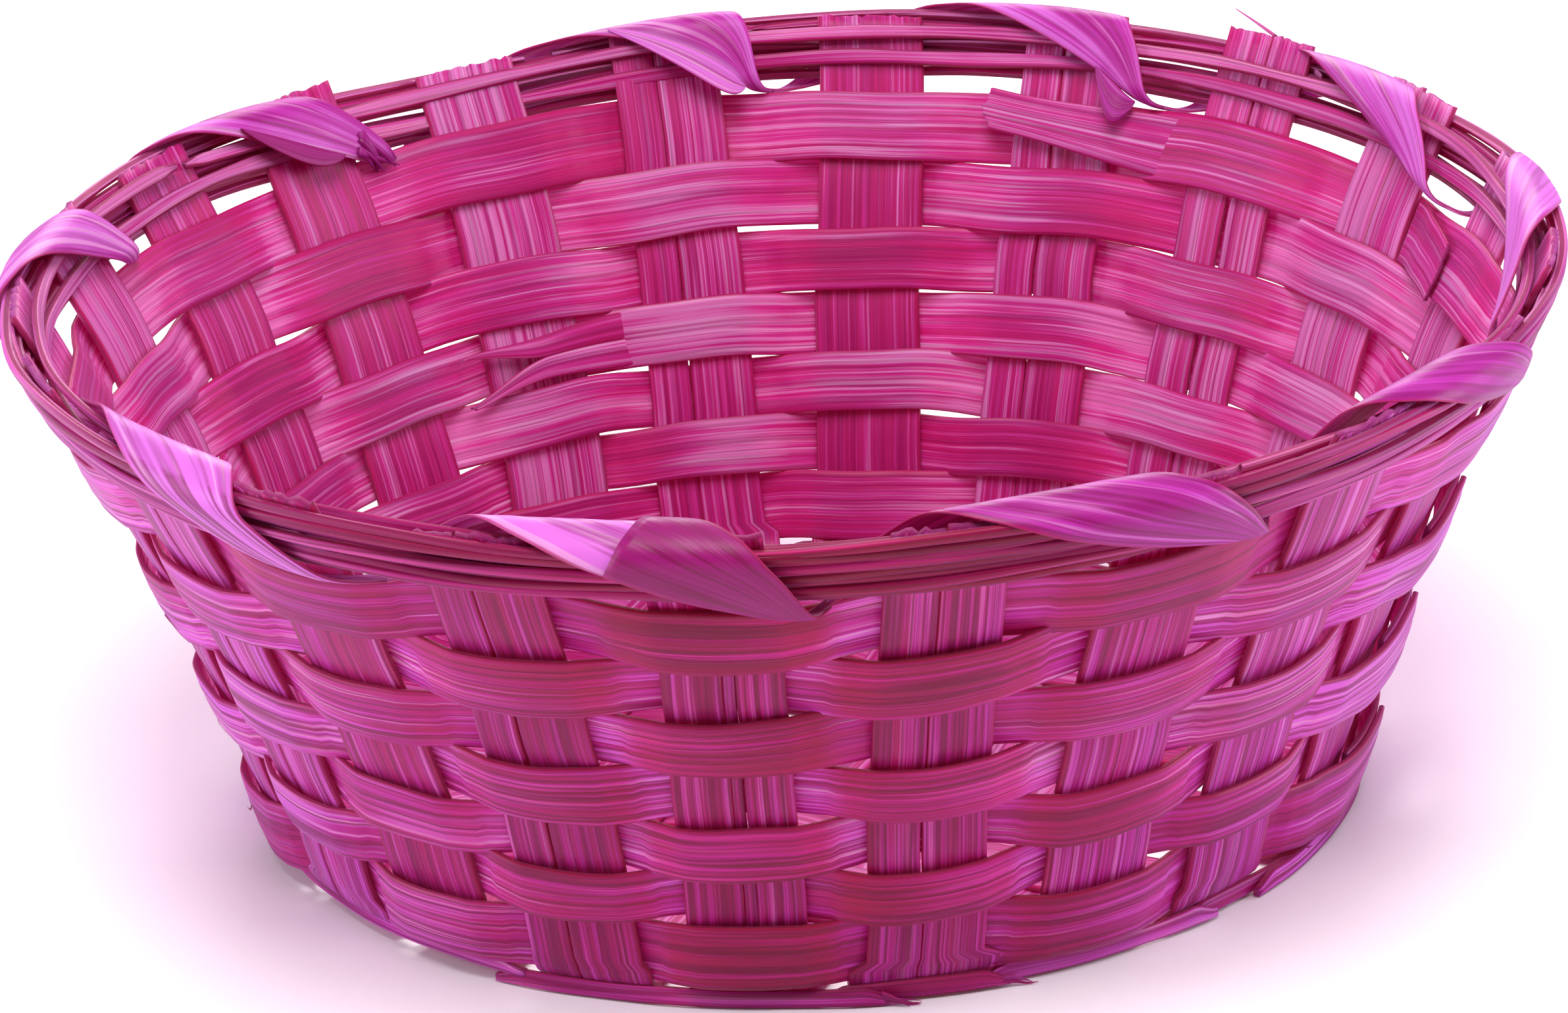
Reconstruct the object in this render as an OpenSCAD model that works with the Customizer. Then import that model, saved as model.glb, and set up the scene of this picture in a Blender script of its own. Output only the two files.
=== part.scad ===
// Round flaring basket, plaited from flat strips of split bamboo.
// Eleven strips are folded up from a plaited base into 21 uprights, seven weavers go
// round them, and a lashed rim and a foot hoop hold the edges. It has no handle.
// Origin: middle of the footprint, on the surface that the basket stands on. +Z is up.

/* [Bowl] */
// Radius of the wall's middle surface at the foot
foot_r = 76; // [70:0.1:100]
// Radius of the wall's middle surface at the rim line
rim_r = 105.8; // [100:0.5:130]
// Height of the rim line above the ground
wall_h = 79; // [74:0.5:90]
// Share of the flare that comes in late, so that the wall curves outward
late_flare = 0.36; // [0:0.01:0.8]

/* [Stakes] */
// Width of an upright strip
stake_w = 16; // [10:0.5:17]
// Thickness of an upright strip
stake_t = 0.9; // [0.5:0.05:1.1]
// Middle radius of the fold between base and wall
fold_r = 5; // [4:0.1:6]
// Height of the base's middle surface
base_z = 1.25; // [1.1:0.05:2]
// Compass angle of the first upright
first_stake_angle = -144.6; // [-180:0.2:180]
// How far hand setting-out shifts the uprights from an even spacing
set_out_error = 3.6; // [0:0.1:4]
// How far the tops of the uprights vary in height
top_unevenness = 2; // [0:0.1:2.4]

/* [Weavers] */
// Height of the middle of the lowest weaver
first_row_z = 9.8; // [9:0.1:11]
// Height from the lowest weaver to the next
row_pitch = 8.3; // [8:0.1:8.6]
// How much each row stands further off than the one below
row_growth = 0.24; // [0:0.02:0.28]
// Share of the row spacing that the strip fills
row_fill = 0.93; // [0.6:0.01:0.95]
// Thickness of a weaver
weaver_t = 0.8; // [0.5:0.05:0.9]

/* [Rim] */
// Height of the middle of the rim bundle
rim_z = 74.7; // [74:0.1:76]
// Height of each outer splint
outer_splint_h = 2.3; // [1.6:0.1:2.4]
// Thickness of an outer splint
outer_splint_t = 1.6; // [1:0.1:1.8]
// Height of each inner splint
inner_splint_h = 2.2; // [1.6:0.1:2.6]
// Thickness of an inner splint
inner_splint_t = 1.2; // [0.8:0.1:1.4]
// Width of the lashing ribbon
ribbon_w = 15; // [8:0.5:17]
// Thickness of the lashing ribbon
ribbon_t = 0.4; // [0.3:0.05:0.5]

/* [Foot hoop] */
// Height of the hoop
hoop_h = 2.2; // [1.8:0.1:2.6]
// Thickness of the hoop
hoop_t = 1.2; // [1:0.1:1.6]

/* [Hidden] */

dyed_upright = "#b0397a";
dyed_weaver = "#c2418b";
dyed_splint = "#c96aa6";
dyed_ribbon = "#d36bc5";

stakes = 21;                      // ten strips give two uprights each, the half stake gives one
stake_pitch = 360 / stakes;
set_out_turn = 20;                // compass angle where the setting-out error is nil
half_stake_place = 20;            // the half stake's place in the ring of uprights
gap = 0.12;                       // daylight between strips that press together
lateral = [-0.5, 0, 0.5];         // points across a stake, as shares of its width
weaver_reach = (stake_t + weaver_t) / 2 + gap + 0.1;  // weaver middle to stake middle

// The wall: a surface of revolution whose flare grows with height.
function wall_r(z) = let (t = z / wall_h) foot_r + (rim_r - foot_r) * t * (1 - late_flare + late_flare * t);
function wall_flare(z) = (rim_r - foot_r) / wall_h * (1 - late_flare + 2 * late_flare * z / wall_h);
function wall_lean(z) = atan(wall_flare(z));
// A point on the wall, off it by a distance along its outward normal.
function wall_pt(angle, z, off) =
    let (r = wall_r(z) + off * cos(wall_lean(z)))
    [r * cos(angle), r * sin(angle), z - off * sin(wall_lean(z))];

// Compass angle of upright k. k may lie between two uprights.
function stake_angle(k) =
    let (even = first_stake_angle + stake_pitch * k)
    even + set_out_error * sin(even - set_out_turn);
function stake_top(k) = rim_z + 2.2 + top_unevenness * abs(sin(97 * k));

function unit(a) = a / norm(a);
function smooth(t) = let (c = max(0, min(1, t))) c * c * (3 - 2 * c);
function flat_topped(c) = max(-1, min(1, 2 * c));

// A closed strip between two sheets of points, rows running along it.
module strip(under, over) {
    rows = len(under);
    cols = len(under[0]);
    sheet = rows * cols;
    function at(side, i, j) = side * sheet + i * cols + j;
    function quad(a, b, c, d) = [[a, b, c], [a, c, d]];
    faces = [
        for (i = [0:rows - 2], j = [0:cols - 2]) each concat(
            quad(at(0, i, j), at(0, i, j + 1), at(0, i + 1, j + 1), at(0, i + 1, j)),
            quad(at(1, i, j), at(1, i + 1, j), at(1, i + 1, j + 1), at(1, i, j + 1))),
        for (i = [0:rows - 2]) each concat(
            quad(at(0, i, 0), at(0, i + 1, 0), at(1, i + 1, 0), at(1, i, 0)),
            quad(at(0, i, cols - 1), at(1, i, cols - 1), at(1, i + 1, cols - 1), at(0, i + 1, cols - 1))),
        for (j = [0:cols - 2]) each concat(
            quad(at(0, 0, j), at(1, 0, j), at(1, 0, j + 1), at(0, 0, j + 1)),
            quad(at(0, rows - 1, j), at(0, rows - 1, j + 1), at(1, rows - 1, j + 1), at(1, rows - 1, j)))
    ];
    polyhedron(points = [for (sheet_rows = [under, over], row = sheet_rows) each row], faces = faces);
}

// ---- Stakes -------------------------------------------------------------------------------
wall_steps = 7;                   // pieces that an upright is drawn in, above its foot
fold_steps = 3;                   // pieces in the fold between wall and base
base_steps = 44;                  // pieces across the base
slant_h = 1.5;                    // height over which a slanting foot comes square to the wall
base_lift = stake_t / 2 + gap;     // how far plaited strips pass above and below the base's middle
plait_end = 12;                   // distance past its last crossing where a strip is level again
tail_r = 44;                      // how near the middle the half stake's tail reaches
// The fold ends where it has turned up to the wall's lean.
fold_end = -wall_lean(base_z + fold_r);
fold_top_z = base_z + fold_r + fold_r * sin(fold_end);
base_r = wall_r(fold_top_z) - fold_r * cos(fold_end);

// Both ends of each strip, as places in the ring of uprights.
function long_ends(n) = [n - 1, 15 - n];
function cross_ends(n) = [n + 4, 20 - n];

// The base line of a strip: [direction, sideways direction, sideways distance from the middle].
function base_line(ends) =
    let (
        a = stake_angle(ends[0]), b = stake_angle(ends[1]),
        along = unit([cos(b) - cos(a), sin(b) - sin(a)]),
        side = [-along[1], along[0]]
    ) [along, side, base_r * side * [cos(a), sin(a)]];
// How far point p of the base lies to the side of a base line.
function past_line(p, line) = p * line[1] - line[2];

// Height of strip number n at point p: over one crossing strip and under the next.
// way is 1 where it passes over the odd ones.
function plait_z(p, n, crossing_lines, way) =
    let (
        past = [for (line = crossing_lines) past_line(p, line)],
        outward = sign(past[0] - past[4]),
        place = lookup(0, concat(
            [[past[0] + outward * plait_end, 0.5]],
            [for (i = [0:4]) [past[i], i + 1]],
            [[past[4] - outward * plait_end, 5.5]]))
    ) base_z + way * base_lift * flat_topped(2 * cos(180 * (place + n)));

// One row of points across upright k, at height z of the wall. turn is 1 where the points run
// with the compass, and -1 where they run against it.
function wall_row(k, turn, z, off) = [
    for (share = lateral) wall_pt(stake_angle(k) + turn * share * stake_w / wall_r(z) * 180 / PI, z, off)
];
// One row across the fold. foot holds the angles of the points where they leave the base.
function fold_row(foot, phi, off) = [
    for (angle = foot) let (r = base_r + (fold_r + off) * cos(phi))
        [r * cos(angle), r * sin(angle), base_z + fold_r + (fold_r + off) * sin(phi)]
];
// Rows from the top of upright k down to the edge of the base. A strip that leaves the base at
// a slant comes square to the wall over slant_h.
function upright_rows(k, foot, turn, off) =
    let (square_z = fold_top_z + slant_h, step = (stake_top(k) - square_z) / wall_steps)
    concat(
        [for (i = [wall_steps:-1:0]) wall_row(k, turn, square_z + step * i, off)],
        [for (i = [0:fold_steps]) fold_row(foot, fold_end + (-90 - fold_end) * i / fold_steps, off)]);
function reversed(rows) = [for (i = [len(rows) - 1:-1:0]) rows[i]];

// A strip that goes up the wall at both ends.
module through_stake(ends, n, crossing_lines, way) {
    line = base_line(ends);
    sideways = [for (share = lateral) line[2] + share * stake_w];
    half_run = [for (s = sideways) sqrt(base_r * base_r - s * s)];
    function place(i, u) = line[1] * sideways[i] + line[0] * half_run[i] * u;
    function foot(u) = [for (i = [0:len(lateral) - 1]) let (p = place(i, u)) atan2(p[1], p[0])];
    function base_row(u, off) = [
        for (i = [0:len(lateral) - 1]) let (p = place(i, u))
            [p[0], p[1], plait_z(p, n, crossing_lines, way) - off]
    ];
    function rows(off) = concat(
        upright_rows(ends[0], foot(-1), -1, off),
        [for (i = [1:base_steps - 1]) base_row(2 * i / base_steps - 1, off)],
        reversed(upright_rows(ends[1], foot(1), 1, off)));
    color(dyed_upright) strip(rows(-stake_t / 2), rows(stake_t / 2));
}
long_lines = [for (n = [1:5]) base_line(long_ends(n))];
cross_lines = [for (n = [1:5]) base_line(cross_ends(n))];
module long_stake(n) { through_stake(long_ends(n), n, cross_lines, 1); }
module cross_stake(n) { through_stake(cross_ends(n), n, long_lines, -1); }

// The extra upright. Its tail lies on the plaiting in the corner of the base.
module half_stake() {
    k = half_stake_place;
    middle = stake_angle(k);
    tail_steps = 6;
    lifted = 3 * base_lift;
    spread = [for (share = lateral) asin(share * stake_w / base_r)];
    foot = [for (a = spread) middle + a];
    function tail_row(t, off) = [
        for (i = [0:len(lateral) - 1]) let (
            r = base_r * cos(spread[i]) * (1 - t) + tail_r * t,
            s = lateral[i] * stake_w
        ) [r * cos(middle) - s * sin(middle), r * sin(middle) + s * cos(middle),
            base_z + lifted * smooth(4 * t) - off]
    ];
    function rows(off) = concat(
        upright_rows(k, foot, 1, off), [for (i = [1:tail_steps]) tail_row(i / tail_steps, off)]);
    color(dyed_upright) strip(rows(stake_t / 2), rows(-stake_t / 2));
}

// ---- Weavers ------------------------------------------------------------------------------
steps_per_stake = 6;              // pieces that a weaver is drawn in from one upright to the next
lap_place = 7;                    // upright before each weaver's lap
lap_start = 0.15;                 // the lap's ends, as shares of the way to the next upright
lap_end = 0.85;
lap_ramp = 0.35;                  // share over which the top end climbs onto the lower one

function row_z(n) = first_row_z + row_pitch * (n - 1) + row_growth * (n - 1) * (n - 2) / 2;
// Height that row n covers. It keeps inside half the distance to the row below.
function row_h(n) = row_fill * (row_pitch + row_growth * max(0, n - 2));
// With an odd number of uprights each weaver passes two in a row on one side, under its lap.
function beat(k) = k - max(0, min(1, k - lap_place)) - max(0, min(1, k - lap_place - stakes));
function weaver_off(n, k) =
    let (side = flat_topped(cos(180 * (beat(k) + n))))
    weaver_reach * side
    + sign(side) * (weaver_t + gap) * smooth((k - lap_place - stakes - lap_start + lap_ramp) / lap_ramp);

module weaver(n) {
    first = lap_place + lap_start;
    last = lap_place + stakes + lap_end;
    steps = ceil((last - first) * steps_per_stake);
    function row(i, off) =
        let (k = min(last, max(first, (floor(first * steps_per_stake) + i) / steps_per_stake)))
        [for (share = [-0.5, 0.5])
            wall_pt(stake_angle(k), row_z(n) + share * row_h(n), weaver_off(n, k) + off)];
    function rows(off) = [for (i = [0:steps]) row(i, off)];
    color(dyed_weaver) strip(rows(weaver_t / 2), rows(-weaver_t / 2));
}

// ---- Rim ----------------------------------------------------------------------------------
rim_lean = wall_lean(rim_z);
outer_splints = 4;
splint_corner = 0.4;              // how much is taken off each corner of a splint
outer_splint_off = stake_t / 2 + 0.35 + outer_splint_t / 2;
inner_splint_off = -stake_t / 2 - 0.25 - inner_splint_t / 2;
inner_splint_drop = 2.3;          // how far the lower inner splint's middle is below the bundle's
inner_splint_rise = 1.4;          // and the upper one's above it
splint_pitch = outer_splint_h + 0.12;

// A point off the wall at the rim: q along its outward normal, p up its slope.
function rim_pt(q, p) = [
    wall_r(rim_z) + q * cos(rim_lean) + p * sin(rim_lean),
    rim_z - q * sin(rim_lean) + p * cos(rim_lean)];

// A bent splint with chamfered corners. Its ends meet at the compass angle start.
module splint(q, p, thick, high, start) {
    a = thick / 2;
    b = high / 2;
    c = splint_corner;
    outline = [[a, c - b], [a, b - c], [a - c, b], [c - a, b], [-a, b - c], [-a, c - b], [c - a, -b], [a - c, -b]];
    end_gap = 1;
    color(dyed_splint) rotate([0, 0, start]) rotate_extrude(angle = 360 - end_gap, $fn = 180)
        polygon([for (o = outline) rim_pt(q + o[0], p + o[1])]);
}
module outer_rim_splint(n) {
    splint(outer_splint_off, (n - (outer_splints + 1) / 2) * splint_pitch, outer_splint_t, outer_splint_h, 70 + 95 * n);
}
module inner_rim_splint_lower() {
    splint(inner_splint_off, -inner_splint_drop, inner_splint_t, inner_splint_h, -30);
}
module inner_rim_splint_upper() {
    splint(inner_splint_off, inner_splint_rise, inner_splint_t, inner_splint_h, 130);
}

// The lashing goes up the inside, over the rim, down the outside and back in between two
// uprights, on to the second upright each time. Its last turn spans three.
turns = 10;
turn_steps = 20;
first_pass = 1.5;                 // where it passes under the rim, in places along the uprights
first_turn = 5;                   // turn that its two ends lie in
lash_q = 0.25;                    // middle of the loop, off the wall
lash_half_q = 3.4;                // half its thickness
lash_half_p = 6;                  // half its height
pinch = 0.5;                      // share of its width that is left where it goes through

function pass_place(w) = first_pass + 2 * w + (w >= turns ? w - turns + 1 : 0);
function pass_angle(w) = stake_angle(pass_place(w % turns)) + (w >= turns ? 360 : 0);
function lash_angle(t) =
    let (w = floor(t), u = t - w, next = w + 1)
    pass_angle(w) + (pass_angle(next) - pass_angle(w)) * (u - sin(360 * u) / 12);
// Half a turn of the loop is 180 degrees of phi. Its corners are square enough for the splints.
function squared(c) = sign(c) * sqrt(abs(c));
function lash_pt(angle, phi, off) =
    let (
        q = lash_q + (lash_half_q + off) * squared(cos(phi)),
        p = (lash_half_p + off) * squared(sin(phi)),
        at = rim_pt(q, p)
    ) [at[0] * cos(angle), at[0] * sin(angle), at[1]];

module rim_lashing() {
    loop = 4 * (lash_half_q + lash_half_p);
    advance = 2 * PI * rim_r / turns;
    run = norm([loop, advance]);
    function row(t, off) =
        let (u = t - floor(t), w = ribbon_w * (1 - (1 - pinch) * pow(cos(180 * u), 4)))
        [for (share = [-0.5:0.25:0.5]) lash_pt(
            lash_angle(t) + share * w * loop / run / rim_r * 180 / PI,
            -90 - 360 * t + share * w * advance / run / loop * 360, off)];
    function rows(off) = [
        for (i = [1:turns * turn_steps - 1]) row(first_turn + i / turn_steps, off)
    ];
    color(dyed_ribbon) strip(rows(ribbon_t / 2), rows(-ribbon_t / 2));
}

// ---- Foot ---------------------------------------------------------------------------------
module foot_hoop() {
    // It hugs the fold of the stakes, which is widest inside it at its upper edge.
    fold_out = fold_r + stake_t / 2;
    below = base_z + fold_r - hoop_h;
    inside = base_r + sqrt(fold_out * fold_out - below * below) + gap;
    corner = 0.4;
    color(dyed_splint) rotate_extrude($fn = 180) polygon([
        [inside, 0], [inside + hoop_t, 0], [inside + hoop_t, hoop_h - corner],
        [inside + hoop_t - corner, hoop_h], [inside + corner, hoop_h], [inside, hoop_h - corner]
    ]);
}

long_stake(1);  // long_stake_1
long_stake(2);  // long_stake_2
long_stake(3);  // long_stake_3
long_stake(4);  // long_stake_4
long_stake(5);  // long_stake_5
cross_stake(1);  // cross_stake_1
cross_stake(2);  // cross_stake_2
cross_stake(3);  // cross_stake_3
cross_stake(4);  // cross_stake_4
cross_stake(5);  // cross_stake_5
half_stake();
weaver(1);  // weaver_row_1
weaver(2);  // weaver_row_2
weaver(3);  // weaver_row_3
weaver(4);  // weaver_row_4
weaver(5);  // weaver_row_5
weaver(6);  // weaver_row_6
weaver(7);  // weaver_row_7
inner_rim_splint_lower();
inner_rim_splint_upper();
outer_rim_splint(1);  // outer_rim_splint_1
outer_rim_splint(2);  // outer_rim_splint_2
outer_rim_splint(3);  // outer_rim_splint_3
outer_rim_splint(4);  // outer_rim_splint_4
rim_lashing();
foot_hoop();
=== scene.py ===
"""A round easter basket of dyed split bamboo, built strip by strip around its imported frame.

Every strip, splint and ribbon is a closed solid of its own, in the place of the plain solid that
stands for it in the frame. Lengths are in millimetres until a mesh is made, which is in metres.
"""

import logging
import math
from dataclasses import dataclass, field
from enum import Enum

import bpy
import numpy as np
from mathutils import Matrix, Vector


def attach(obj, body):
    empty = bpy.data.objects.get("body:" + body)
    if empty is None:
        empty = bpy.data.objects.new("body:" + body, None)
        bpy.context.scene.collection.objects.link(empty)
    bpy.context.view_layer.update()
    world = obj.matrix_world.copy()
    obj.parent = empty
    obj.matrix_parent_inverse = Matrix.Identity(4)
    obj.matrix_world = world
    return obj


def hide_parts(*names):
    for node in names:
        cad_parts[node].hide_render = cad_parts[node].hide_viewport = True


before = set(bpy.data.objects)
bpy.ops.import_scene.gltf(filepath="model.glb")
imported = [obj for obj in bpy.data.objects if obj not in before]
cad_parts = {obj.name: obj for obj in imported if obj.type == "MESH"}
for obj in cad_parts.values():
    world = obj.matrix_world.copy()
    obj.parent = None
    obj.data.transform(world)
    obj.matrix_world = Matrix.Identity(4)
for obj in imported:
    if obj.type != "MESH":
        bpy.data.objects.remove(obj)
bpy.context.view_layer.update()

LOG = logging.getLogger("basket")
MM = 0.001
FULL_TURN = 360.0
STRIP_UV = "strip"
Array = np.ndarray
Socket = bpy.types.NodeSocket


# ---- Small helpers ---------------------------------------------------------------------------
def rad(degrees: float | Array) -> float | Array:
    """Turns degrees to radians."""
    return np.radians(degrees)


def smooth(t: float | Array) -> float | Array:
    """Eases 0 to 1, flat at both ends.

    Args:
        t: A share, held to 0 to 1.

    Returns:
        The eased share.
    """
    c = np.clip(t, 0.0, 1.0)
    return c * c * (3 - 2 * c)


def bump(x: float | Array, middle: float, reach: float) -> float | Array:
    """A soft hill of height 1 at middle that is nil beyond reach.

    Args:
        x: Where to read the hill.
        middle: Its middle.
        reach: How far it goes to each side.

    Returns:
        Its height.
    """
    return smooth(1 - np.abs(x - middle) / reach)


def unit(v: Array) -> Array:
    """Scales vectors along the last axis to length 1."""
    return v / np.maximum(np.linalg.norm(v, axis=-1, keepdims=True), 1e-12)


def node_points(name: str) -> Array:
    """The corners of a frame node's mesh.

    Args:
        name: The node's name.

    Returns:
        One row for each corner, in millimetres.
    """
    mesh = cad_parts[name].data
    flat = np.zeros(len(mesh.vertices) * 3)
    mesh.vertices.foreach_get("co", flat)
    return flat.reshape(-1, 3) / MM


def compass(points: Array) -> Array:
    """The compass angle of each point, in degrees."""
    return np.degrees(np.arctan2(points[..., 1], points[..., 0]))


def ring_points(degrees: float | Array, r: float | Array, z: float | Array) -> Array:
    """Points at compass angles, radii and heights.

    Args:
        degrees: The compass angles.
        r: The distances from the basket's axis.
        z: The heights.

    Returns:
        The points.
    """
    a = rad(degrees)
    return np.stack(np.broadcast_arrays(r * np.cos(a), r * np.sin(a), z), -1)


def outward(point: Array) -> Array:
    """The level direction away from the basket's axis at a point."""
    return unit(point * (1, 1, 0))


def dome(shares: Array) -> Array:
    """The rise of a cupped strip across its width: 1 at its middle and nil at its edges."""
    return 1 - (2 * shares[None, :]) ** 2


def azimuth(points: Array) -> float:
    """The mean compass angle of points, in degrees."""
    turn = np.arctan2(points[:, 1], points[:, 0])
    return math.degrees(math.atan2(np.sin(turn).mean(), np.cos(turn).mean()))


def painted_light_and_shade(degrees: float | Array, outside: float | Array = 1.0) -> float | Array:
    """Painted light round the basket's outside: paler lilac at its flanks, and painted shade, deeper in
    front.

    Args:
        degrees: The compass angle.
        outside: 1 on the outside of the wall, 0 on its inside.

    Returns:
        The tone to add.
    """
    a = rad(degrees)
    return outside * (0.45 * np.abs(np.cos(a)) ** 1.5 - 0.12 * np.maximum(0, -np.sin(a)) ** 1.5)


def painted_front_shade(degrees: float | Array, outside: float | Array = 1.0) -> float | Array:
    """How much painted shade darkens the outside in front, from 0 to 1.

    Args:
        degrees: The compass angle.
        outside: 1 on the outside of the wall, 0 on its inside.

    Returns:
        The share of painted shade.
    """
    return outside * np.maximum(0, -np.sin(rad(degrees))) ** 2.6


class Wander:
    """A smooth hand-made wobble: a few sine waves of random phase."""

    def __init__(self, rng: np.random.Generator, size: float, wave: float, loops: float = 0.0) -> None:
        """Draws the waves.

        Args:
            rng: The source of random numbers.
            size: About how far the wobble goes to each side.
            wave: The longest wave.
            loops: The length after which it repeats, or 0 where it needn't.
        """
        lengths = wave / np.array([1.0, 1.7, 2.9, 4.6])
        if loops:
            lengths = loops / np.maximum(1, np.round(loops / lengths))
        self.rate = 2 * math.pi / lengths
        self.phase = rng.uniform(0, 2 * math.pi, 4)
        self.height = size * np.array([0.6, 0.45, 0.25, 0.15]) * rng.uniform(0.6, 1.2, 4)

    def at(self, x: float | Array) -> float | Array:
        """Reads the wobble.

        Args:
            x: One place or an array of places.

        Returns:
            The wobble there, in the unit of its size.
        """
        x = np.asarray(x, float)
        return (np.sin(x[..., None] * self.rate + self.phase) * self.height).sum(-1)


# ---- Finishes --------------------------------------------------------------------------------
def linear(code: str) -> tuple[float, float, float, float]:
    """Turns an sRGB hex colour to linear light.

    Args:
        code: The colour, such as "#b03070".

    Returns:
        Red, green, blue and an alpha of 1.
    """
    parts = [int(code[i:i + 2], 16) / 255 for i in (1, 3, 5)]
    light = [p / 12.92 if p <= 0.04045 else ((p + 0.055) / 1.055) ** 2.4 for p in parts]
    return (light[0], light[1], light[2], 1.0)


class Graph:
    """A material and the shader nodes that make it up."""

    def __init__(self, name: str) -> None:
        """Starts a material without nodes.

        Args:
            name: The material's name.
        """
        self.material = bpy.data.materials.new(name)
        self.material.use_nodes = True
        self.tree = self.material.node_tree
        self.tree.nodes.clear()

    def add(self, kind: str, sockets: dict | None = None, **settings: object) -> bpy.types.Node:
        """Adds a node with its settings and links.

        Args:
            kind: The node's type, without "ShaderNode".
            sockets: For each input's name or number, an output to link or a value to set.
            settings: The node's own properties.

        Returns:
            The node.
        """
        node = self.tree.nodes.new("ShaderNode" + kind)
        for name, value in settings.items():
            setattr(node, name, value)
        for name, value in (sockets or {}).items():
            if isinstance(value, bpy.types.NodeSocket):
                self.tree.links.new(value, node.inputs[name])
            else:
                node.inputs[name].default_value = value
        return node

    def mark(self, name: str) -> Socket:
        """Reads one of the strips' own marks."""
        return self.add("Attribute", attribute_name=name).outputs["Fac"]

    def maths(self, operation: str, *values: Socket | float) -> Socket:
        """Works out one step of arithmetic."""
        return self.add("Math", dict(enumerate(values)), operation=operation).outputs[0]

    def streaks(self, uv: Socket, run: float, wide: float, detail: float, seed: float) -> Socket:
        """Noise drawn out along the strip.

        Args:
            uv: Place on the strip, in millimetres along and across.
            run: Length of a streak, in millimetres.
            wide: Its width, in millimetres.
            detail: Octaves of finer noise in it.
            seed: Sets one layer apart from the next.

        Returns:
            The noise, about 0.3 to 0.7.
        """
        place = self.add("VectorMath", {0: uv, 1: (1 / run, 1 / wide, 1.0)}, operation="MULTIPLY")
        moved = self.add("VectorMath", {0: place.outputs[0], 1: (seed, seed * 1.7, seed)}, operation="ADD")
        noise = self.add("TexNoise", {"Vector": moved.outputs[0], "Scale": 1.0, "Detail": detail,
                                      "Roughness": 0.6})
        return noise.outputs["Fac"]

    def stretch(self, value: Socket, low: float, high: float, to_low: float = 0.0,
                to_high: float = 1.0) -> Socket:
        """Maps a range of value onto another, held at its ends."""
        node = self.add("MapRange", {"Value": value, "From Min": low, "From Max": high,
                                     "To Min": to_low, "To Max": to_high}, interpolation_type="SMOOTHSTEP")
        return node.outputs["Result"]

    def mixed(self, share: Socket | float, first: Socket | str, second: Socket | str,
              blend: str = "MIX") -> Socket:
        """Mixes two colours, each an output or a hex code, and returns the result."""
        pair = [linear(c) if isinstance(c, str) else c for c in (first, second)]
        node = self.add("Mix", {0: share, 6: pair[0], 7: pair[1]}, data_type="RGBA", blend_type=blend)
        return node.outputs[2]


class Cut(Enum):
    """How a strip was split from the cane, which sets how its fibres show."""
    STAKE = "stake"
    WEAVER = "weaver"
    SPLINT = "splint"
    RIBBON = "ribbon"
    HOOP = "hoop"


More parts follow.
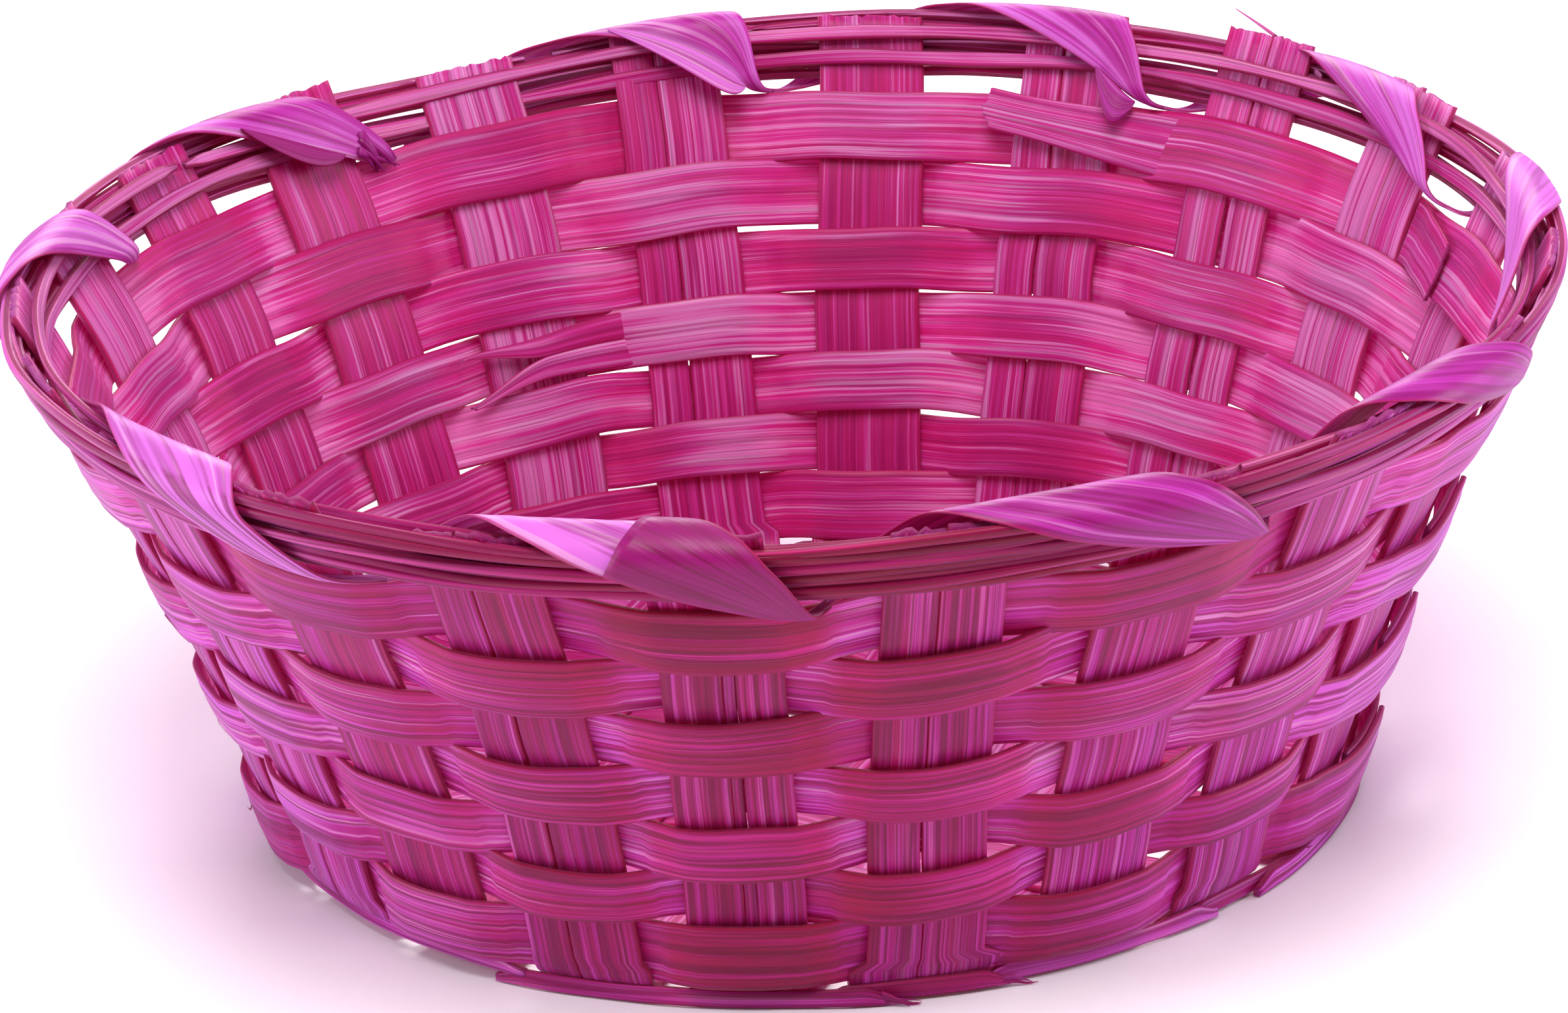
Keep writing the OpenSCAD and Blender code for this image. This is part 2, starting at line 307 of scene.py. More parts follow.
@dataclass(frozen=True)
class DyedBamboo:
    """Split bamboo, knife-planed and dyed in a magenta vat.

    The dye sinks unevenly between the fibres, so the strip shows fine lines along its length: dark
    where fibre bundles hold dye, and pale where the pith took little. Its skin has a satin gloss.
    """
    cut: Cut
    deep: str = "#b2167c"
    body: str = "#ca2ab4"
    light: str = "#e870f2"
    pale: str = "#f2aee6"
    # The pith palette: the pith's own redder take of the dye, and painted light too, made brighter and
    # redder for the glow through the strips inside.
    pith_glow_deep: str = "#c41c76"
    pith_glow_body: str = "#d8329e"
    pith_glow_light: str = "#ea86d0"
    ink: str = "#860a5c"
    # The deep red that each strip's long edges darken to: painted shade of the crevices between strips, and
    # partly dye pooled at the edges.
    edge: str = "#b40a54"
    glow: str = "#ff2a84"
    # The deep tint multiplied in as painted shade, most on the basket's front; it also darkens the ribbon's
    # folded layer and a creased lobe.
    painted_shade: str = "#e63ea2"
    bloom: str = "#d9a8ff"
    fibre_mm: float = 0.55
    band_mm: float = 2.4
    run_mm: float = 70.0
    contrast: float = 1.35
    pale_share: float = 0.75
    vein: float = 0.85
    vein_mm: float = 1.5
    roughness: float = 0.42
    sheen: float = 0.24
    translucent: float = 0.34
    bump_mm: float = 0.10

    def pallor(self, graph: Graph, uv: Socket, fibres: Socket, hairs: Socket) -> Socket:
        """How pale a place is, from 0 to 1: bands, fibres, hairs and blots together say it.

        Args:
            graph: The material's nodes.
            uv: Place on the strip.
            fibres: The fibres' noise.
            hairs: The finer fibres' noise.

        Returns:
            The paleness.
        """
        bands = graph.streaks(uv, self.run_mm, self.band_mm, 2.0, 3.1)
        blots = graph.streaks(uv, 26.0, 9.0, 3.0, 21.9)
        weights = ((fibres, 0.75 * self.contrast), (hairs, 0.35 * self.contrast), (bands, 0.6), (blots, 0.5))
        shade: Socket | float = 0.0
        for layer, weight in weights + ((graph.mark("tone"), 0.5),):
            shade = graph.maths("MULTIPLY_ADD", layer, weight, shade)
        middle = 0.5 * sum(weight for _, weight in weights)
        return graph.stretch(shade, middle - 0.30, middle + 0.34)

    def veined(self, graph: Graph, uv: Socket, colour: Socket, pith_side: Socket) -> Socket:
        """Draws thin inky veins on a colour, fainter on the pith side.

        Args:
            graph: The material's nodes.
            uv: Place on the strip.
            colour: The colour so far.
            pith_side: 1 on the pith side.

        Returns:
            The colour with its veins.
        """
        fainter = graph.stretch(pith_side, 0.0, 1.0, 1.0, 0.5)
        # Where this noise crosses its middle it draws a thin line that runs on along the grain.
        for seed, wide in ((41.7, 1.0), (57.3, 0.6)):
            vein = graph.streaks(uv, self.run_mm * 1.6, self.vein_mm * wide, 0.0, seed)
            off = graph.maths("ABSOLUTE", graph.maths("SUBTRACT", vein, 0.5))
            line = graph.stretch(off, 0.0, 0.09, self.vein * wide, 0.0)
            colour = graph.mixed(graph.maths("MULTIPLY", line, fainter), colour, self.ink)
        return colour

    def make(self) -> bpy.types.Material:
        """Builds the material.

        Returns:
            The dyed bamboo of this cut.
        """
        graph = Graph("dyed_bamboo_" + self.cut.value)
        uv = graph.add("UVMap", uv_map=STRIP_UV).outputs["UV"]
        pith_side = graph.mark("pith")
        fibres = graph.streaks(uv, self.run_mm, self.fibre_mm, 2.0, 7.7)
        hairs = graph.streaks(uv, self.run_mm * 0.4, self.fibre_mm * 0.3, 2.0, 12.3)
        pallor = self.pallor(graph, uv, fibres, hairs)
        # The pith side, and patches of the skin side, take the pith palette: partly the pith's own redder
        # take of the dye, partly painted light, brighter and redder for the glow through the strips.
        patches = graph.stretch(graph.streaks(uv, 34.0, 12.0, 2.0, 71.9), 0.42, 0.62, 0.0, 0.4)
        warmth = graph.maths("MAXIMUM", pith_side, patches)
        body = graph.mixed(warmth, self.body, self.pith_glow_body)
        light = graph.mixed(warmth, self.light, self.pith_glow_light)
        deep = graph.mixed(warmth, self.deep, self.pith_glow_deep)
        lower = graph.mixed(graph.stretch(pallor, 0.0, 0.5), deep, body)
        colour = graph.mixed(graph.stretch(pallor, 0.45, 1.0), lower, light)
        pith = graph.streaks(uv, self.run_mm * 0.7, self.fibre_mm * 1.1, 1.0, 33.3)
        pale = graph.stretch(pith, 0.56, 0.62, 0.0, self.pale_share)
        pale = graph.maths("MULTIPLY", pale, graph.stretch(pallor, 0.1, 0.8))
        colour = self.veined(graph, uv, graph.mixed(pale, colour, self.pale), pith_side)
        # Painted shade: each strip's long edges darken to a deep red, for the shade in the crevices between
        # strips, and partly dye pooled there.
        colour = graph.mixed(graph.stretch(graph.mark("edge"), 0.90, 1.0, 0.0, 0.75), colour, self.edge)
        # Painted shade: a deep tint is multiplied in, most on the basket's front.
        colour = graph.mixed(graph.mark("darkening"), colour, self.painted_shade, "MULTIPLY")

        rough = graph.stretch(fibres, 0.3, 0.7, self.roughness - 0.07, self.roughness + 0.12)
        height = graph.maths("MULTIPLY_ADD", hairs, 0.5, fibres)
        relief = graph.add("Bump", {"Height": height, "Strength": 0.9, "Distance": self.bump_mm * MM})
        skin = graph.add("BsdfPrincipled", {
            "Base Color": colour, "Roughness": rough, "Normal": relief.outputs[0], "IOR": 1.4,
            "Sheen Weight": self.sheen, "Sheen Roughness": 0.45, "Sheen Tint": linear(self.bloom)})
        back_light = graph.add("BsdfTranslucent", {"Color": graph.mixed(0.5, colour, self.glow)})
        both = graph.add("MixShader", {0: self.translucent, 1: skin.outputs[0], 2: back_light.outputs[0]})
        graph.add("OutputMaterial", {"Surface": both.outputs[0]})
        return graph.material


@dataclass(frozen=True)
class PaperFloor:
    """Matt white paper, the sweep that the basket stands on."""
    colour: str = "#fbfafb"
    roughness: float = 0.9
    tooth_mm: float = 0.1

    def make(self) -> bpy.types.Material:
        """Builds the material with its faint tooth.

        Returns:
            The paper.
        """
        graph = Graph("paper_floor")
        place = graph.add("TexCoord").outputs["Object"]
        tooth = graph.add("TexNoise", {"Vector": place, "Scale": 900.0, "Detail": 3.0}).outputs["Fac"]
        relief = graph.add("Bump", {"Height": tooth, "Strength": 0.1, "Distance": self.tooth_mm * MM})
        skin = graph.add("BsdfPrincipled", {"Base Color": linear(self.colour), "Roughness": self.roughness,
                                            "Normal": relief.outputs[0]})
        graph.add("OutputMaterial", {"Surface": skin.outputs[0]})
        return graph.material


# ---- Strips ----------------------------------------------------------------------------------
def surface_normals(mid: Array) -> Array:
    """Unit normals of a grid of points.

    Args:
        mid: Points by row along the strip and by column across it.

    Returns:
        Normals in the same layout.
    """
    along = np.gradient(mid, axis=0)
    across = np.gradient(mid, axis=1)
    return unit(np.cross(along, across))


def columns(width: float, pitch: float) -> Array:
    """Places across a strip, close together at its edges so that they read as rounded.

    Args:
        width: The strip's width.
        pitch: About how far apart the inner ones are.

    Returns:
        Shares of the width, from -0.5 to 0.5.
    """
    round_mm = min(0.16, width * 0.12)
    inner = np.linspace(-0.5 + round_mm / width, 0.5 - round_mm / width, max(3, int(width / pitch)))
    return np.concatenate([[-0.5], inner, [0.5]])


class StripMesh:
    """Gathers closed strips into the mesh of one piece."""

    def __init__(self, name: str, rng: np.random.Generator) -> None:
        """Starts an empty mesh.

        Args:
            name: The piece's name.
            rng: The piece's own source of random numbers.
        """
        self.name = name
        self.rng = rng
        self.points: list[Array] = []
        self.faces: list[Array] = []
        self.uv: list[Array] = []
        self.marks: dict[str, list[Array]] = {"tone": [], "edge": [], "darkening": [], "pith": []}
        self.count = 0

    def strip(self, mid: Array, shares: Array, thick: Array | float, tone: Array | float = 0.0,
              darkening: Array | float = 0.0, ridge: float = 0.04, normals: Array | None = None) -> None:
        """Adds one closed strip.

        Args:
            mid: Its middle surface, by row along it and by column across it.
            shares: Each column's place across, from -0.5 to 0.5.
            thick: Its thickness, one value or one for each row.
            tone: How pale it is, from -1 to 1, one value or one for each point.
            darkening: How far its colour is multiplied towards a deep tint as painted shade, one value or
                one for each point.
            ridge: Height of the fibre ridges along it.
            normals: Its normals, where the points alone don't give them.
        """
        rows, cols = mid.shape[:2]
        if normals is None:
            normals = surface_normals(mid)
        step = np.linalg.norm(np.diff(mid[:, cols // 2], axis=0), axis=1)
        run = np.concatenate([[0.0], np.cumsum(step)])
        wide = np.linalg.norm(mid[:, -1] - mid[:, 0], axis=1)
        half = np.broadcast_to(np.asarray(thick, float).reshape(-1, 1), (rows, cols)) / 2
        # The edge columns are thinner, so that the strip's long edges are eased.
        eased = np.ones(cols)
        eased[[0, -1]] = 0.45
        ridges = Wander(self.rng, 1.0, 2.6)
        slow = Wander(self.rng, 0.5, 160.0)
        across = np.broadcast_to(shares[None, :] * np.median(wide), (rows, cols))
        crest = ridges.at(across + slow.at(run)[:, None]) * ridge
        crest[:, [0, -1]] = 0
        over = mid + normals * (half * eased + crest)[..., None]
        under = mid - normals * (half * eased - crest * 0.3)[..., None]
        base = self.count
        top = base + np.arange(rows * cols).reshape(rows, cols)
        low = top + rows * cols
        sides = [
            (top[:-1, :-1], top[1:, :-1], top[1:, 1:], top[:-1, 1:]),
            (low[:-1, :-1], low[:-1, 1:], low[1:, 1:], low[1:, :-1]),
            (top[:-1, 0], low[:-1, 0], low[1:, 0], top[1:, 0]),
            (top[:-1, -1], top[1:, -1], low[1:, -1], low[:-1, -1]),
            (top[0, :-1], top[0, 1:], low[0, 1:], low[0, :-1]),
            (top[-1, :-1], low[-1, :-1], low[-1, 1:], top[-1, 1:]),
        ]
        for a, b, c, d in sides:
            self.faces.append(np.stack([a.ravel(), b.ravel(), c.ravel(), d.ravel()], -1))
        self.points += [over.reshape(-1, 3), under.reshape(-1, 3)]
        shift = self.rng.uniform(0, 900, 2)
        place = np.stack([np.broadcast_to(run[:, None], (rows, cols)) + shift[0], across + shift[1]], -1)
        self.uv += [place.reshape(-1, 2), place.reshape(-1, 2) + (37.0, 53.0)]
        edge = np.abs(np.broadcast_to(shares * 2, (rows, cols)))
        for key, value in (("tone", tone), ("edge", edge), ("darkening", darkening)):
            full = np.broadcast_to(np.asarray(value, float), (rows, cols)).ravel()
            self.marks[key] += [full, full]
        skin_way = np.concatenate([unit(mid[..., :2]), np.full((rows, cols, 1), -1.0)], -1)
        facing = (normals * skin_way).sum(-1).ravel()
        self.marks["pith"] += [smooth(0.5 - 2 * facing), smooth(0.5 + 2 * facing)]
        self.count += 2 * rows * cols

    def splinter(self, path: Array, width: float, thick: float, facing: Array, tone: float = 0.0) -> None:
        """Adds a loose fibre that tapers to a point at its far end.

        Args:
            path: Its middle line.
            width: Its width where it starts.
            thick: Its thickness.
            facing: The direction that its flat face looks in.
            tone: How pale it is.
        """
        along = unit(np.gradient(path, axis=0))
        side = unit(np.cross(along, facing))
        taper = np.linspace(1.0, 0.08, len(path)) ** 0.8
        shares = np.array([-0.5, 0.0, 0.5])
        mid = path[:, None, :] + side[:, None, :] * (shares[None, :] * width * taper[:, None])[..., None]
        normals = np.repeat(np.cross(side, along)[:, None, :], 3, axis=1)
        self.strip(mid, shares, thick * taper, tone, 0.0, 0.0, normals)

    def piece(self, material: bpy.types.Material) -> bpy.types.Object:
        """Makes the object.

        Args:
            material: Its finish.

        Returns:
            The object, in metres, smooth and with its strip coordinates.
        """
        points = np.concatenate(self.points) * MM
        faces = np.concatenate(self.faces)
        mesh = bpy.data.meshes.new(self.name)
        mesh.vertices.add(len(points))
        mesh.vertices.foreach_set("co", points.ravel())
        mesh.loops.add(faces.size)
        mesh.loops.foreach_set("vertex_index", faces.ravel())
        mesh.polygons.add(len(faces))
        mesh.polygons.foreach_set("loop_start", np.arange(0, faces.size, 4))
        mesh.polygons.foreach_set("use_smooth", np.ones(len(faces), bool))
        mesh.update(calc_edges=True)
        layer = mesh.uv_layers.new(name=STRIP_UV)
        layer.data.foreach_set("uv", np.concatenate(self.uv)[faces.ravel()].ravel())
        for key, values in self.marks.items():
            mark = mesh.attributes.new(key, "FLOAT", "POINT")
            mark.data.foreach_set("value", np.concatenate(values))
        mesh.materials.append(material)
        made = bpy.data.objects.new(self.name, mesh)
        bpy.context.scene.collection.objects.link(made)
        return made


# ---- The wall --------------------------------------------------------------------------------
@dataclass
class Wall:
    """The bowl's middle surface and the places that the strips take on it, read from the frame."""
    stake_nodes: list[str]
    half_node: str
    weaver_nodes: list[str]
    sag_mm: float = 2.6
    sag_turn: float = 117.0
    sag_reach: float = 36.0
    row_lean: float = 0.3
    radius_fit: Array = field(init=False)
    row_z: Array = field(init=False)
    row_high: Array = field(init=False)
    turns: Array = field(init=False)
    tops: Array = field(init=False)
    owner: list[tuple[str, int]] = field(init=False)

    def __post_init__(self) -> None:
        """Reads the frame."""
        rows = [node_points(n) for n in self.weaver_nodes]
        heights = [p[:, 2].mean() for p in rows]
        radii = [np.hypot(p[:, 0], p[:, 1]).mean() for p in rows]
        self.radius_fit = np.polyfit(heights, radii, 2)
        self.row_z = np.array(heights)
        # A leaning strip stands a little taller than it is wide, by its own thickness.
        self.row_high = np.array([np.ptp(p[:, 2]) for p in rows]) - self.row_lean
        ends: list[tuple[float, float, str, int]] = []
        for node in self.stake_nodes + [self.half_node]:
            high = node_points(node)
            high = high[high[:, 2] > self.row_z.mean()]
            toward = high[:, :2] @ high[0, :2]
            for number, group in enumerate((high[toward > 0], high[toward <= 0])):
                if len(group):
                    ends.append((azimuth(group), group[:, 2].max(), node, number))
        ends.sort()
        last = [e[2] for e in ends].index(self.half_node)
        ends = ends[last + 1:] + ends[:last + 1]
        angles = np.array([e[0] for e in ends])
        self.turns = np.degrees(np.unwrap(rad(angles)))
        self.tops = np.array([e[1] for e in ends])
        self.owner = [(e[2], e[3]) for e in ends]

    @property
    def stakes(self) -> int:
        """How many uprights stand in the ring."""
        return len(self.turns)

    def radius(self, z: float | Array) -> float | Array:
        """The wall's radius at height z."""
        return np.polyval(self.radius_fit, z)

    def lean(self, z: float | Array) -> float | Array:
        """How far the wall leans out at height z, in radians."""
        return np.arctan(np.polyval(np.polyder(self.radius_fit), z))

    def turn(self, place: float | Array) -> float | Array:
        """The compass angle of a place in the ring, in degrees.

        Args:
            place: An upright's number, or a share of the way to the next.

        Returns:
            The angle, which grows on past one round.
        """
        n = self.stakes
        ring = np.concatenate([self.turns - FULL_TURN, self.turns, self.turns + FULL_TURN])
        return np.interp(place, np.arange(-n, 2 * n), ring)

    def sag(self, degrees: float | Array) -> float | Array:
        """How far the rim dips where it was drawn down in the making.

        Args:
            degrees: The compass angle.

        Returns:
            The dip at each angle.
        """
        past = (np.asarray(degrees, float) - self.sag_turn + FULL_TURN / 2) % FULL_TURN - FULL_TURN / 2
        return self.sag_mm * bump(past, 0.0, self.sag_reach)

    def point(self, degrees: float | Array, z: float | Array, off: float | Array) -> Array:
        """A point off the wall along its outward normal.

        Args:
            degrees: Its compass angle.
            z: Its height on the wall.
            off: Its distance off the wall.

        Returns:
            The point or points.
        """
        lean = self.lean(z)
        r = self.radius(z) + off * np.cos(lean)
        return ring_points(degrees, r, z - off * np.sin(lean))


# ---- Stakes ----------------------------------------------------------------------------------
@dataclass
class Split:
    """A crack along the grain of one upright."""
    place: int
    share: float
    low: float
    high: float
    open_mm: float


@dataclass
class LooseFibre:
    """A fibre that has sprung off a strip.

    Each of its two ends is a place along the ring, a height and a distance off the wall.
    """
    place: int
    start: tuple[float, float, float]
    end: tuple[float, float, float]
    width: float = 0.8


@dataclass
class Stakes:
    """The uprights: ten strips plaited across the base and folded up, and the half stake."""
    wall: Wall
    finish: bpy.types.Material
    seed: int = 11
    width: float = 16.0
    thick: float = 0.9
    fold_r: float = 5.0
    base_z: float = 1.25
    lift: float = 0.57
    plait_end: float = 12.0
    slant: float = 1.5
    wall_rows: int = 44
    fold_rows: int = 7
    base_rows: int = 90
    tail_r: float = 44.0
    ragged: float = 0.45
    comb: float = 0.9
    stand_up: float = 1.2
    press: float = 0.22
    press_reach: float = 8.0
    cup: float = 0.14
    pitch: float = 0.8
    ridge: float = 0.08
    crack_gap: float = 0.05
    crack_reach: float = 3.0
    # How high above the base the painted light fades in, and how strong its paler flanks and its painted
    # shade in front are.
    painted_light_rise: float = 4.0
    painted_light_weight: float = 0.6
    painted_shade_weight: float = 0.7
    splits: list[Split] = field(default_factory=list)
    proud: dict[int, float] = field(default_factory=dict)
    loose: list[LooseFibre] = field(default_factory=list)

    def __post_init__(self) -> None:
        """Works out the fold and the base lines."""
        wall = self.wall
        self.fold_end = -float(wall.lean(self.base_z + self.fold_r))
        self.fold_top = self.base_z + self.fold_r * (1 + math.sin(self.fold_end))
        self.base_r = float(wall.radius(self.fold_top)) - self.fold_r * math.cos(self.fold_end)
        self.ends: dict[str, list[int]] = {}
        for place, (node, _) in enumerate(wall.owner):
            self.ends.setdefault(node, []).append(place)
        self.lines = {n: self.base_line(e) for n, e in self.ends.items() if len(e) == 2}

    def base_line(self, ends: list[int]) -> tuple[Array, Array, float]:
        """The line that a strip takes across the base.

        Args:
            ends: The places of its two uprights.

        Returns:
            Its direction, its sideways direction, and its distance from the middle.
        """
        a, b = rad(self.wall.turn(ends[0])), rad(self.wall.turn(ends[1]))
        along = unit(np.array([math.cos(b) - math.cos(a), math.sin(b) - math.sin(a)]))
        side = np.array([-along[1], along[0]])
        return along, side, float(self.base_r * side @ np.array([math.cos(a), math.sin(a)]))

    def plait(self, points: Array, number: int, crossing: list[tuple[Array, Array, float]],
              way: int) -> Array:
        """Height of a strip in the plaited base: over one crossing strip and under the next.

        Args:
            points: Places on the base.
            number: The strip's number in its set.
            crossing: The other set's lines.
            way: 1 where it passes over the odd ones, and -1 where under.

        Returns:
            The height at each place.
        """
        past = np.stack([points @ line[1] - line[2] for line in crossing], -1)
        sense = np.sign(past[:, 0] - past[:, -1])[:, None]
        known = np.concatenate([past[:, :1] + sense * self.plait_end, past,
                                past[:, -1:] - sense * self.plait_end], 1)
        value = np.concatenate([[0.5], np.arange(1, len(crossing) + 1), [len(crossing) + 0.5]])
        place = np.array([np.interp(0, k, value) if k[0] < k[-1] else np.interp(0, k[::-1], value[::-1])
                          for k in known])
        return self.base_z + way * self.lift * np.clip(2 * np.cos(math.pi * (place + number)), -1, 1)

    def wave(self, place: int, z: Array) -> Array:
        """How far the weavers press an upright in and out at height z."""
        out = np.zeros_like(z)
        for row, height in enumerate(self.wall.row_z, start=1):
            out -= self.press * weave_side(self.wall, row, place) * bump(z, height, self.press_reach)
        return out

    def upright(self, place: int, shares: Array, foot: Array, turn: int, top_cut: Array) -> Array:
        """Rows of an upright from its top down to the edge of the base.

        Args:
            place: Its place in the ring.
            shares: Places across it.
            foot: The compass angle, in radians, at which each column leaves the base.
            turn: 1 where its columns run with the compass, and -1 where they run against it.
            top_cut: How far each column's top is cut short.

        Returns:
            The points, by row and by column.
        """
        wall = self.wall
        square_z = self.fold_top + self.slant
        share_up = np.linspace(1, 0, self.wall_rows)[:, None]
        top = wall.tops[place] + self.stand_up + self.proud.get(place, 0.0) - wall.sag(wall.turn(place))
        z = square_z + (top - top_cut[None, :] - square_z) * share_up
        middle = wall.turn(place) + self.sway[place].at(z) / wall.radius(z) * 180 / math.pi
        degrees = middle + turn * shares[None, :] * self.width / wall.radius(z) * 180 / math.pi
        rising = wall.point(degrees, z, self.wave(place, z) + self.cup * dome(shares))
        phi = np.linspace(self.fold_end, -math.pi / 2, self.fold_rows)[:, None]
        r = self.base_r + self.fold_r * np.cos(phi)
        z_fold = np.broadcast_to(self.base_z + self.fold_r * (1 + np.sin(phi)), (len(phi), len(foot)))
        fold = np.stack([r * np.cos(foot), r * np.sin(foot), z_fold], -1)
        return np.concatenate([rising, fold])

    def cut_top(self, shares: Array, place: int) -> Array:
        """How ragged an upright's cut top is across its width: more so where it is in front."""
        rng = np.random.default_rng(self.seed + 100 + place + int(100 * shares[0] + 50))
        front = float(smooth(0.5 - 2 * math.sin(rad(self.wall.turn(place)))))
        teeth = rng.uniform(0, self.ragged + (self.comb - self.ragged) * front, len(shares))
        return teeth + rng.uniform(-0.5, 0.5) * (shares - shares[0]) + rng.uniform(0, 0.6)

    def lanes(self, places: list[int]) -> list[tuple[float, float]]:
        """Cuts a strip's width where it has cracks.

        Args:
            places: The uprights that it gives.

        Returns:
            From and to, in shares, of each lane between two cracks.
        """
        marks = sorted({s.share for s in self.splits if s.place in places})
        walls = [-0.5] + marks + [0.5]
        return list(zip(walls[:-1], walls[1:]))

    def pulled(self, mid: Array, shares: Array, places: list[int], heights: Array, away: Array) -> Array:
        """Opens the cracks along a lane.

        Args:
            mid: The lane's points.
            shares: Its columns.
            places: The uprights that the strip gives.
            heights: Each row's height.
            away: For each row, the place in the ring that it belongs to.

        Returns:
            The points, drawn back from the cracks.
        """
        low, high = shares[0], shares[-1]
        across = unit(mid[:, -1] - mid[:, 0])
        shift = np.zeros(mid.shape[:2])
        for split in self.splits:
            if split.place not in places or split.share not in (low, high):
                continue
            middle, reach = (split.low + split.high) / 2, (split.high - split.low) / 2
            width = split.open_mm * bump(heights, middle, reach) * (away == split.place) + self.crack_gap
            near = np.clip(1 - np.abs(shares - split.share) * self.width / self.crack_reach, 0, 1)
            sign = 1 if split.share == low else -1
            shift += sign * width[:, None] / 2 * near[None, :]
        return mid + across[:, None, :] * shift[..., None]

    def across(self, lane: tuple[float, float]) -> Array:
        """Places across a lane, as shares of the whole strip's width."""
        low, high = lane
        return low + (columns((high - low) * self.width, self.pitch) + 0.5) * (high - low)

    def lay(self, made: StripMesh, parts: list[Array], shares: Array, places: list[int],
            away: list[int], tone: float) -> None:
        """Joins the parts of a lane, opens the cracks along it and adds it to the strip's mesh.

        Args:
            made: The strip's mesh.
            parts: The lane's points, part by part along it.
            shares: Its columns.
            places: The uprights that the strip gives.
            away: For each part, the place in the ring that it belongs to, or -1 in the base.
            tone: How pale it is.
        """
        mid = np.concatenate(parts)
        owner = np.repeat(away, [len(part) for part in parts])
        mid = self.pulled(mid, shares, places, mid[:, len(shares) // 2, 2], owner)
        local = 2 * (shares - shares[0]) / (shares[-1] - shares[0]) - 1
        # Painted light and shade on the wall, fading in above the base: paler lilac flanks and a darker
        # front.
        risen = smooth((mid[..., 2] - self.base_z) / self.painted_light_rise)
        pale = tone + self.painted_light_weight * risen * painted_light_and_shade(compass(mid))
        painted_shade = self.painted_shade_weight * risen * painted_front_shade(compass(mid))
        made.strip(mid, local / 2, self.thick, pale, painted_shade, self.ridge)

    def through(self, node: str, number: int, crossing: list, way: int) -> StripMesh:
        """Builds a strip that goes up the wall at both ends.

        Args:
            node: Its frame node.
            number: Its number in its set.
            crossing: The lines of the set that it crosses.
            way: 1 where it passes over the odd ones.

        Returns:
            Its mesh.
        """
        rng = np.random.default_rng(self.seed + 7 * number + (0 if way > 0 else 500))
        made = StripMesh(node + "_strip", rng)
        ends = self.ends[node]
        along, side, aside = self.lines[node]
        tone = rng.uniform(-0.25, 0.2)
        for lane in self.lanes(ends):
            shares = self.across(lane)
            sideways = aside + shares * self.width
            half_run = np.sqrt(self.base_r ** 2 - sideways ** 2)
            first = side[None] * sideways[:, None] - along[None] * half_run[:, None]
            last = side[None] * sideways[:, None] + along[None] * half_run[:, None]
            foot = [np.arctan2(e[:, 1], e[:, 0]) for e in (first, last)]
            up_a = self.upright(ends[0], shares, foot[0], -1, self.cut_top(shares, ends[0]))
            up_b = self.upright(ends[1], shares, foot[1], 1, self.cut_top(shares, ends[1]))
            u = np.linspace(-1, 1, self.base_rows)[1:-1]
            flat = side * sideways[None, :, None] + along * (half_run[None, :] * u[:, None])[..., None]
            z = self.plait(flat.reshape(-1, 2), number, crossing, way).reshape(flat.shape[:2])
            base = np.concatenate([flat, z[..., None]], -1)
            self.lay(made, [up_a, base, up_b[::-1]], shares, ends, [ends[0], -1, ends[1]],
                     tone + rng.uniform(-0.15, 0.15))
        for fibre in self.loose:
            if fibre.place in ends:
                self.spring(made, fibre)
        return made

    def spring(self, made: StripMesh, fibre: LooseFibre) -> None:
        """Adds a fibre that has sprung off an upright.

        Args:
            made: The upright's mesh.
            fibre: Where it goes.
        """
        t = np.linspace(0, 1, 24)
        at, z, off = (a + (b - a) * t for a, b in zip(fibre.start, fibre.end))
        path = self.wall.point(self.wall.turn(fibre.place + at), z, off + 0.8 * np.sin(math.pi * t))
        made.splinter(path, fibre.width, 0.35, outward(path[0]), 0.2)

    def half(self) -> StripMesh:
        """Builds the extra upright, whose tail lies on the plaiting in a corner of the base."""
        rng = np.random.default_rng(self.seed + 77)
        node = self.wall.half_node
        made = StripMesh(node + "_strip", rng)
        place = self.ends[node][0]
        middle = rad(self.wall.turn(place))
        tone = rng.uniform(-0.2, 0.3)
        out = np.array([math.cos(middle), math.sin(middle)])
        sideways = np.array([-out[1], out[0]])
        for lane in self.lanes([place]):
            shares = self.across(lane)
            spread = np.arcsin(shares * self.width / self.base_r)
            rows = self.upright(place, shares, middle + spread, 1, self.cut_top(shares, place))
            t = np.linspace(0, 1, 20)[1:, None]
            r = self.base_r * np.cos(spread)[None, :] * (1 - t) + self.tail_r * t
            flat = out * r[..., None] + sideways * (shares * self.width)[None, :, None]
            z = np.broadcast_to(self.base_z + 3 * self.lift * smooth(4 * t), r.shape)
            base = np.concatenate([flat, z[..., None]], -1)
            self.lay(made, [rows, base], shares, [place], [place, -1], tone)
        return made

    def build(self) -> list[bpy.types.Object]:
        """Builds and dresses every stake.

        Returns:
            The pieces.
        """
        rng = np.random.default_rng(self.seed)
        self.sway = [Wander(rng, 0.35, 60.0) for _ in range(self.wall.stakes)]
        made = []
        sets = {kind: [n for n in self.wall.stake_nodes if n.startswith(kind)] for kind in ("long", "cross")}
        for kind, other, way in (("long", "cross", 1), ("cross", "long", -1)):
            crossing = [self.lines[n] for n in sets[other]]
            for number, node in enumerate(sets[kind], start=1):
                made.append(dress(self.through(node, number, crossing, way), self.finish, node))
        made.append(dress(self.half(), self.finish, self.wall.half_node))
        return made


# ---- Weavers ---------------------------------------------------------------------------------
LAP_PLACE = 7
LAP_START, LAP_END, LAP_RAMP = 0.15, 0.85, 0.35


def weave_beat(wall: Wall, place: float | Array) -> float | Array:
    """Counts the uprights that a weaver has passed. It passes two alike under its lap."""
    late = np.clip(place - LAP_PLACE, 0, 1) + np.clip(place - LAP_PLACE - wall.stakes, 0, 1)
    return place - late


